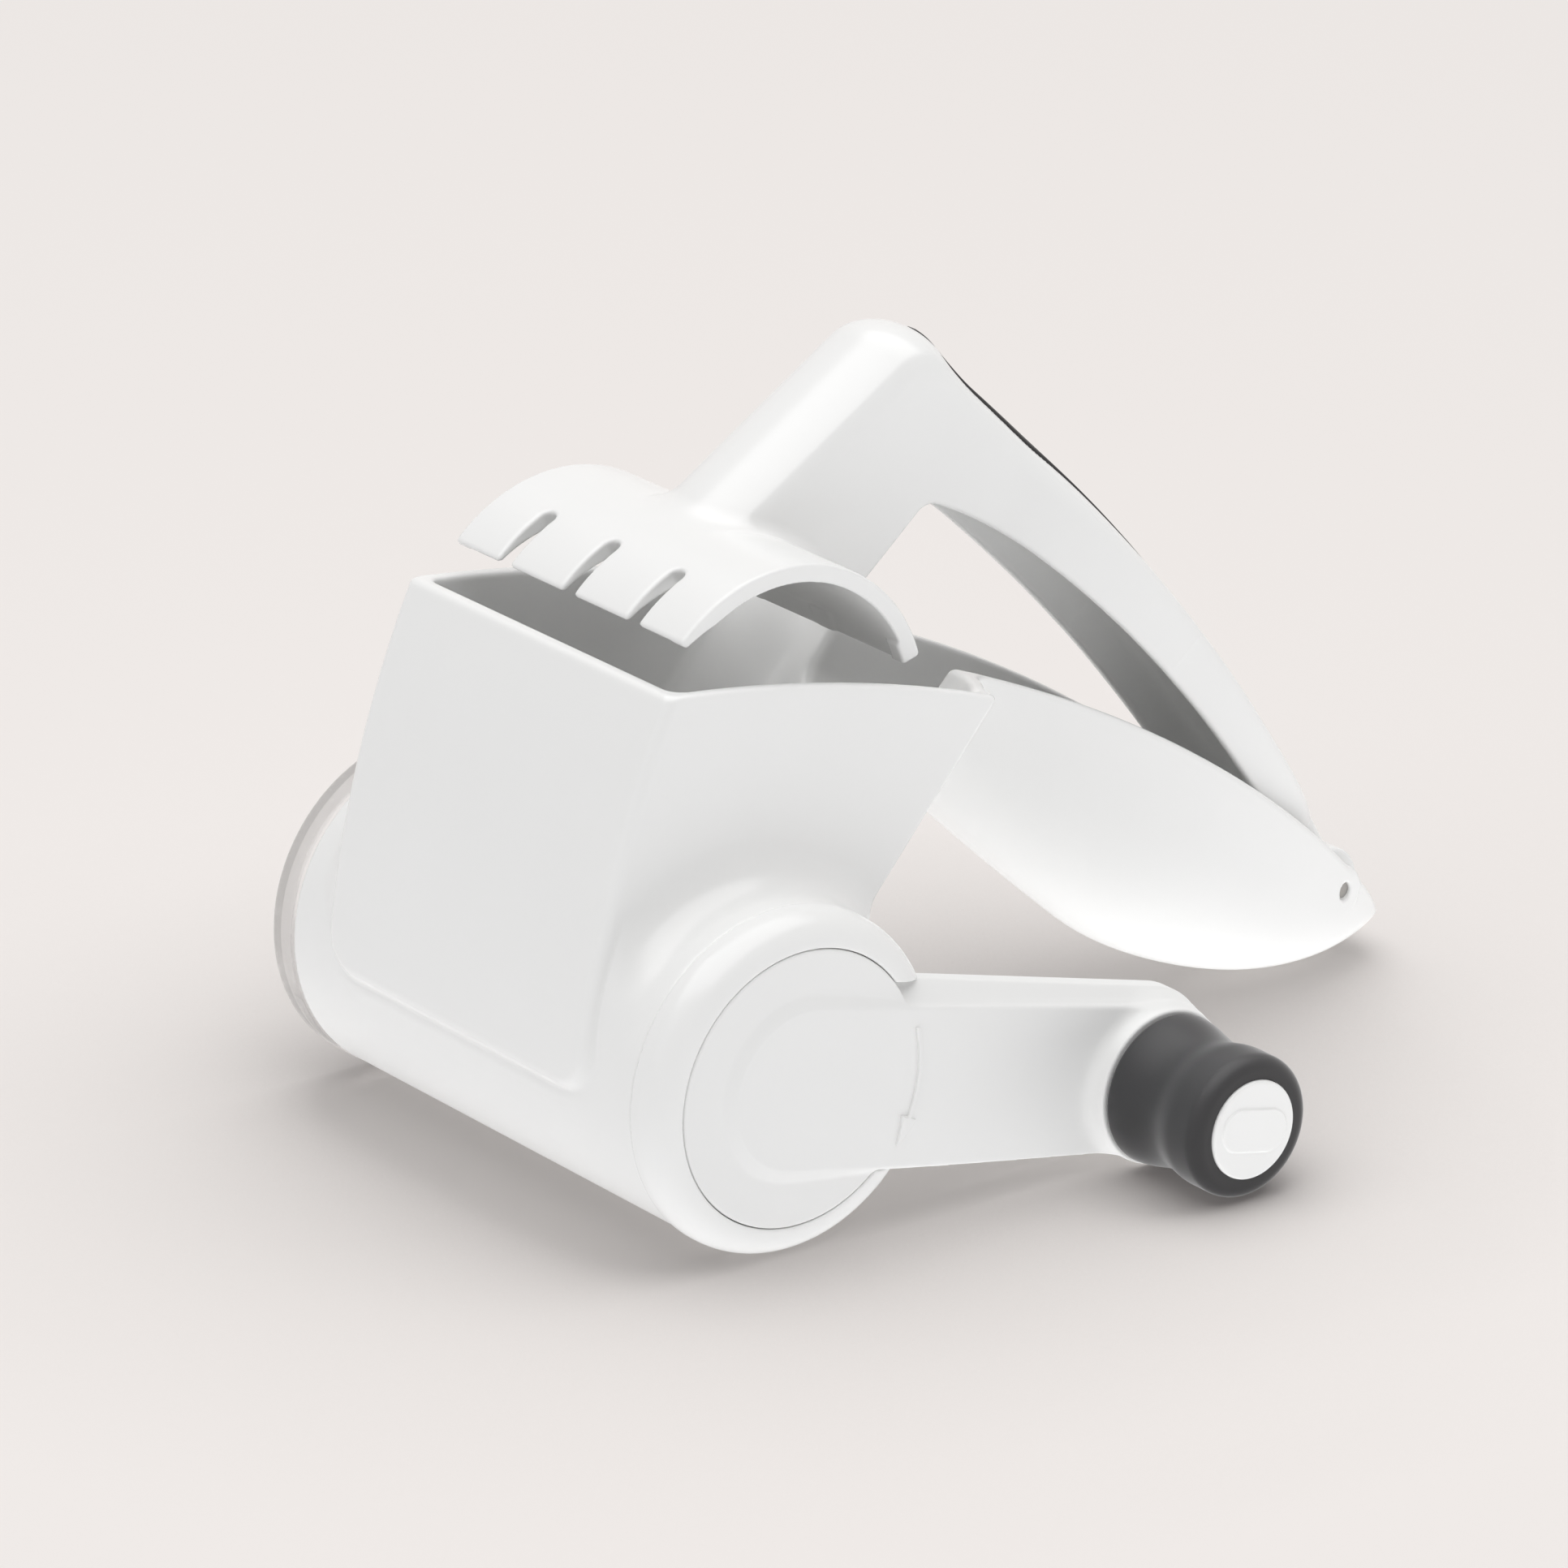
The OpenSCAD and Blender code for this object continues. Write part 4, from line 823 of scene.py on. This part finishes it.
def makeCrankArm(step=0.3, reach=26.5):  # disc, bar, raised pad and knob boss in one, hollow at the back
    c = crank
    low = (-reach, padFace - c["bossOut"] - c["bossMargin"], -reach)
    x, y, z = axes(low, (c["length"] + c["knobMargin"], c["back"] + c["margin"], reach), step)
    r = np.hypot(x, z)
    disc = meet(r - c["discR"], np.maximum(crankFront - y, y - crankFront - c["discT"]), c["discEdge"])
    t = np.clip((c["back"] - c["stepT"] - y) / (c["rimDepth"] - c["stepT"]), 0, 1)
    wide = c["width"] + (c["faceW"] - c["width"]) * t
    endWide = c["endWidth"] + (c["faceEndW"] - c["endWidth"]) * t
    skin = armShape(x, z, wide, endWide, c["rise"] * (1 - t))
    bar = meet(skin, crankFront - y, c["barEdge"])
    bar = meet(bar, y - c["back"] + c["backGap"], c["backEdge"])
    bar = np.maximum(bar, np.where(y > crankFront + c["discT"], c["discR"] + 2 * c["seam"] - r, c["free"]))
    pad = np.minimum(armShape(x, z, c["faceW"], c["faceEndW"]), r - c["faceW"] / 2)
    flare = c["faceFlare"] * np.clip((y - padFace) / c["faceT"], 0, 1)
    pad = pad - flare * (1 - smoothStep(0, c["discR"], x))
    pad = meet(pad, padFace - y, c["faceEdge"])
    pad = np.maximum(pad, y - crankFront - c["faceSink"])
    fromKnob = np.hypot(x - c["length"], z)
    boss = meet(fromKnob - c["bossR"], padFace - c["bossOut"] - y, c["bossEdge"])
    boss = np.maximum(boss, y - crankFront - c["bossSink"])
    solid = np.minimum(disc, bar)
    solid = join(solid, pad, c["faceJoin"])
    solid = np.maximum(solid, padFace - y + np.where(fromKnob < c["bossR"] + c["bossReach"], c["free"], 0))
    outline = np.minimum(armShape(x, z, c["width"], c["endWidth"], c["rise"]), fromKnob - c["bossR"])
    solid = np.maximum(join(solid, boss, c["bossJoin"]), np.minimum(outline, r - c["discR"]))
    hollow = armShape(x, z, c["width"] - 3 * c["discT"], c["endWidth"] - 3 * c["discT"], c["rise"])
    hollow = np.maximum(hollow, np.maximum(c["discR"] + c["discT"] - x, c["pegR"] + c["discT"] - fromKnob))
    hollow = np.maximum(hollow, c["back"] - c["stepT"] - c["bossOut"] - y)
    solid = cut(solid, hollow, c["hollowEdge"])
    solid = np.maximum(solid, c["screwR"] - fromKnob)
    piece = fieldPiece("crankArm", solid, low, step, turn=crankTurn, keep=0.4)
    return dress(piece, "crank", "crank_arm")


arrow = {
    "boxLow": (17.5, -12.5), "boxHigh": (28.5, 13.0), "r": 24.8, "width": 0.8, "proud": 0.55, "sunk": 0.3,
    "fromDeg": 26.0, "toDeg": -12.0, "headL": 5.4, "headW": 3.6, "edge": 0.2, "headEdge": 0.15,
    "overlap": 1.0, "wedge": (0.2, 1.3),  # the line's end in the head, and the head's least and most height
    "boxDeep": 0.5,
}


def makeArrow(step=0.12):  # raised turning arrow on the pad, moulded with it
    w = arrow
    low = (w["boxLow"][0], padFace - crank["margin"], w["boxLow"][1])
    x, y, z = axes(low, (w["boxHigh"][0], padFace + w["boxDeep"], w["boxHigh"][1]), step)
    outward = np.hypot(x, z) - w["r"]
    turnDeg = np.degrees(np.arctan2(z, x))
    along = np.radians(w["toDeg"] - turnDeg) * w["r"]
    start = np.radians(turnDeg - w["fromDeg"]) * w["r"]
    line = meet(np.abs(outward) - w["width"] / 2, np.maximum(start, along - w["overlap"]), w["edge"])
    flank = np.abs(outward) * w["headL"] + (along - w["headL"]) * w["headW"] / 2
    head = meet(flank / math.hypot(w["headL"], w["headW"] / 2), -along, w["headEdge"])
    ridge = w["proud"] * np.where(along > 0, np.clip(1 - outward / w["headW"], *w["wedge"]), 1)
    solid = meet(np.minimum(line, head), padFace - ridge - y, w["edge"])
    solid = np.maximum(solid, y - padFace - w["sunk"])
    piece = fieldPiece("turningArrow", solid, low, step, turn=crankTurn, keep=0.4)
    return dress(piece, "crank", "crank_arm")


makeCrankHub()
makeCrankArm()
makeArrow()
print("stage: crank")


# Knob: soft sleeve with a waist, and a hard cap

knob = {
    "base": padFace - crank["bossOut"] - crank["knobGap"], "r": 13.7, "waist": 12.1,
    "end": 13.0, "length": 23.6, "waistShare": 0.5, "endShare": 0.8, "lip": 2.6, "baseEdge": 0.9,
    "coreR": 8.1,
    "capR": 9.0, "capT": 2.2, "capEdge": 0.5, "capProud": 0.6, "capGap": 0.12, "capSeat": 1.6,
    "pillL": 14.6, "pillW": 7.8, "pillT": 0.3, "pillEdge": 0.2, "pillSunk": 0.5,
    "margins": (1.0, 0.6),  # how far the grid reaches past the cap, outwards and inwards
}


def sleeveR(share):  # the sleeve's radius: in from the base to the waist, then out to the end
    k = knob
    swing = lambda a, b, t: a + (b - a) * (1 - math.cos(math.pi * t)) / 2
    if share < k["waistShare"]:
        return swing(k["r"], k["waist"], share / k["waistShare"])
    onward = (share - k["waistShare"]) / (k["endShare"] - k["waistShare"])
    return swing(k["waist"], k["end"], min(1, onward))


def makeSleeve():
    k = knob
    end = k["base"] - k["length"] + k["capProud"]
    lip = end + k["lip"]
    edge = k["baseEdge"]
    outline = [(k["coreR"], k["base"], 0), (k["r"] - edge, k["base"], 0)]
    for i in range(1, 6):
        a = math.radians(90 * i / 6)
        outline.append((k["r"] - edge * (1 - math.sin(a)), k["base"] - edge * (1 - math.cos(a)), 0))
    for i in range(33):
        place = k["base"] - edge + (lip - k["base"] + edge) * i / 32
        outline.append((sleeveR((k["base"] - place) / (k["base"] - lip)), place, 0))
    for i in range(1, 11):
        a = math.radians(90 * i / 10)
        outline.append((k["end"] - k["lip"] * (1 - math.cos(a)), lip - k["lip"] * math.sin(a), 0))
    seatR, seat = k["capR"] + k["capGap"], end + k["capSeat"]
    outline += [(seatR, end, 0), (seatR, seat, 0), (k["coreR"], seat, 0)]
    return dress(lathePiece("knobSleeve", outline, knobAxis), "knob", "knob_sleeve")


def makeCap(step=0.16, reach=10.0):  # white end cap with a bare raised pad
    k = knob
    end = k["base"] - k["length"]
    low = (-reach, end - k["margins"][0], -reach)
    x, y, z = axes(low, (reach, end + k["capT"] + k["margins"][1], reach), step)
    r = np.hypot(x, z)
    disc = meet(r - k["capR"], end - y, k["capEdge"])
    disc = np.maximum(disc, y - end - k["capT"])
    flat = (k["pillL"] - k["pillW"]) / 2
    pill = np.hypot(np.maximum(np.abs(x) - flat, 0), z) - k["pillW"] / 2
    pill = meet(pill, end - k["pillT"] - y, k["pillEdge"])
    pill = np.maximum(pill, y - end - k["pillSunk"])
    solid = join(disc, pill, k["pillEdge"])
    piece = fieldPiece("knobCap", solid, low, step, turn=crankTurn, keep=0.35)
    piece.data.transform(Matrix.Translation(Vector((knobAxis[0], 0, knobAxis[2])) * mm))
    return dress(piece, "knob", "knob_cap")


makeSleeve()
makeCap()
print("stage: knob")


# Drum: pierced sheet with raised teeth, and the clear mouth ring

drum = {
    "r": 25.8, "t": 0.5, "from": -41.3, "to": 50.0, "rows": 11, "holes": 18, "span": 70.8, "holeR": 1.7,
    "nose": 0.95, "noseRun": 2.4, "nosePower": 1.5,  # a tooth's height, run from the hole and narrowness
    "sides": 28, "rings": 5, "ringPower": 1.3, "bandSides": 180,
}
ring = {
    "mouthR": 24.8, "outR": 30.5, "from": 49.2, "to": 55.6, "edge": 1.5, "mouthEdge": 0.6, "backEdge": 0.4,
    "sleeveR": 28.14, "sleeveFrom": 43.5, "sleeveEdge": 0.3,
    "seatR": 25.85, "seatTo": 50.05, "seatEdge": 0.1,
}


def addCell(points, faces, lowY, highY, turnDeg):  # a cell of the sheet with its hole and tooth, both faces
    d = drum
    across = math.radians(360 / d["holes"]) * d["r"] / 2
    tall = (highY - lowY) / 2
    middleY = (highY + lowY) / 2
    n, m = d["sides"], d["rings"]
    start = len(points)
    for side in (0, d["t"]):
        for i in range(m + 1):
            for k in range(n):
                a = 2 * math.pi * (k + 0.5) / n
                ca, sa = math.cos(a), math.sin(a)
                box = min(across / max(abs(ca), 1e-6), tall / max(abs(sa), 1e-6))
                reach = d["holeR"] + (box - d["holeR"]) * (i / m) ** d["ringPower"]
                fade = max(0, 1 - (reach - d["holeR"]) / d["noseRun"]) ** 2
                r = d["r"] - side + d["nose"] * max(0, -ca) ** d["nosePower"] * fade
                angle = math.radians(turnDeg) + ca * reach / d["r"]
                points.append((r * math.cos(angle), middleY + sa * reach, -r * math.sin(angle)))
    for side in range(2):
        base = start + side * (m + 1) * n
        for i in range(m):
            for k in range(n):
                a, b = base + i * n + k, base + i * n + (k + 1) % n
                quad = (a, b, b + n, a + n)
                faces.append(quad if side else quad[::-1])
    inner = start + (m + 1) * n
    for k in range(n):
        faces.append((start + k, start + (k + 1) % n, inner + (k + 1) % n, inner + k))


def addBand(points, faces, lowY, highY):  # a plain band of the sheet at an end of the drum
    d = drum
    sides = d["bandSides"]
    start = len(points)
    for r in (d["r"], d["r"] - d["t"]):
        for y in (lowY, highY):
            for k in range(sides):
                a = 2 * math.pi * k / sides
                points.append((r * math.cos(a), y, r * math.sin(a)))
    for k in range(sides):
        n = (k + 1) % sides
        a, b, e, f = (start + j * sides for j in range(4))
        faces += [(a + k, b + k, b + n, a + n), (e + n, f + n, f + k, e + k)]
        faces += [(a + n, e + n, e + k, a + k), (b + k, f + k, f + n, b + n)]


def makeDrum():
    d = drum
    pitchY, pitchDeg = d["span"] / d["rows"], 360 / d["holes"]
    points, faces = [], []
    for i in range(d["rows"]):
        low = (i - d["rows"] / 2) * pitchY
        for k in range(d["holes"]):
            addCell(points, faces, low, low + pitchY, (k + (i % 2) / 2) * pitchDeg)
    addBand(points, faces, d["from"], -d["span"] / 2)
    addBand(points, faces, d["span"] / 2, d["to"])
    piece = addMesh("gratingDrum", points, faces)
    piece.data.polygons.foreach_set("use_smooth", [True] * len(piece.data.polygons))
    piece.data.set_sharp_from_angle(angle=math.radians(50))
    return dress(piece, "crank", "drum_tube")


def makeRing():
    g = ring
    outline = [
        (g["seatR"], g["seatTo"], 0), (g["mouthR"], g["seatTo"], g["seatEdge"]),
        (g["mouthR"], g["to"], g["mouthEdge"]), (g["outR"], g["to"], g["edge"]),
        (g["outR"], g["from"], g["backEdge"]), (g["sleeveR"], g["from"], g["sleeveEdge"]),
        (g["sleeveR"], g["sleeveFrom"], g["sleeveEdge"]), (g["seatR"], g["sleeveFrom"], 0),
        (g["seatR"], g["seatTo"], 0)]
    return dress(lathePiece("mouthRing", outline, (0, 0, 0)), "crank", "drum_flange")


makeDrum()
makeRing()
print("stage: drum")
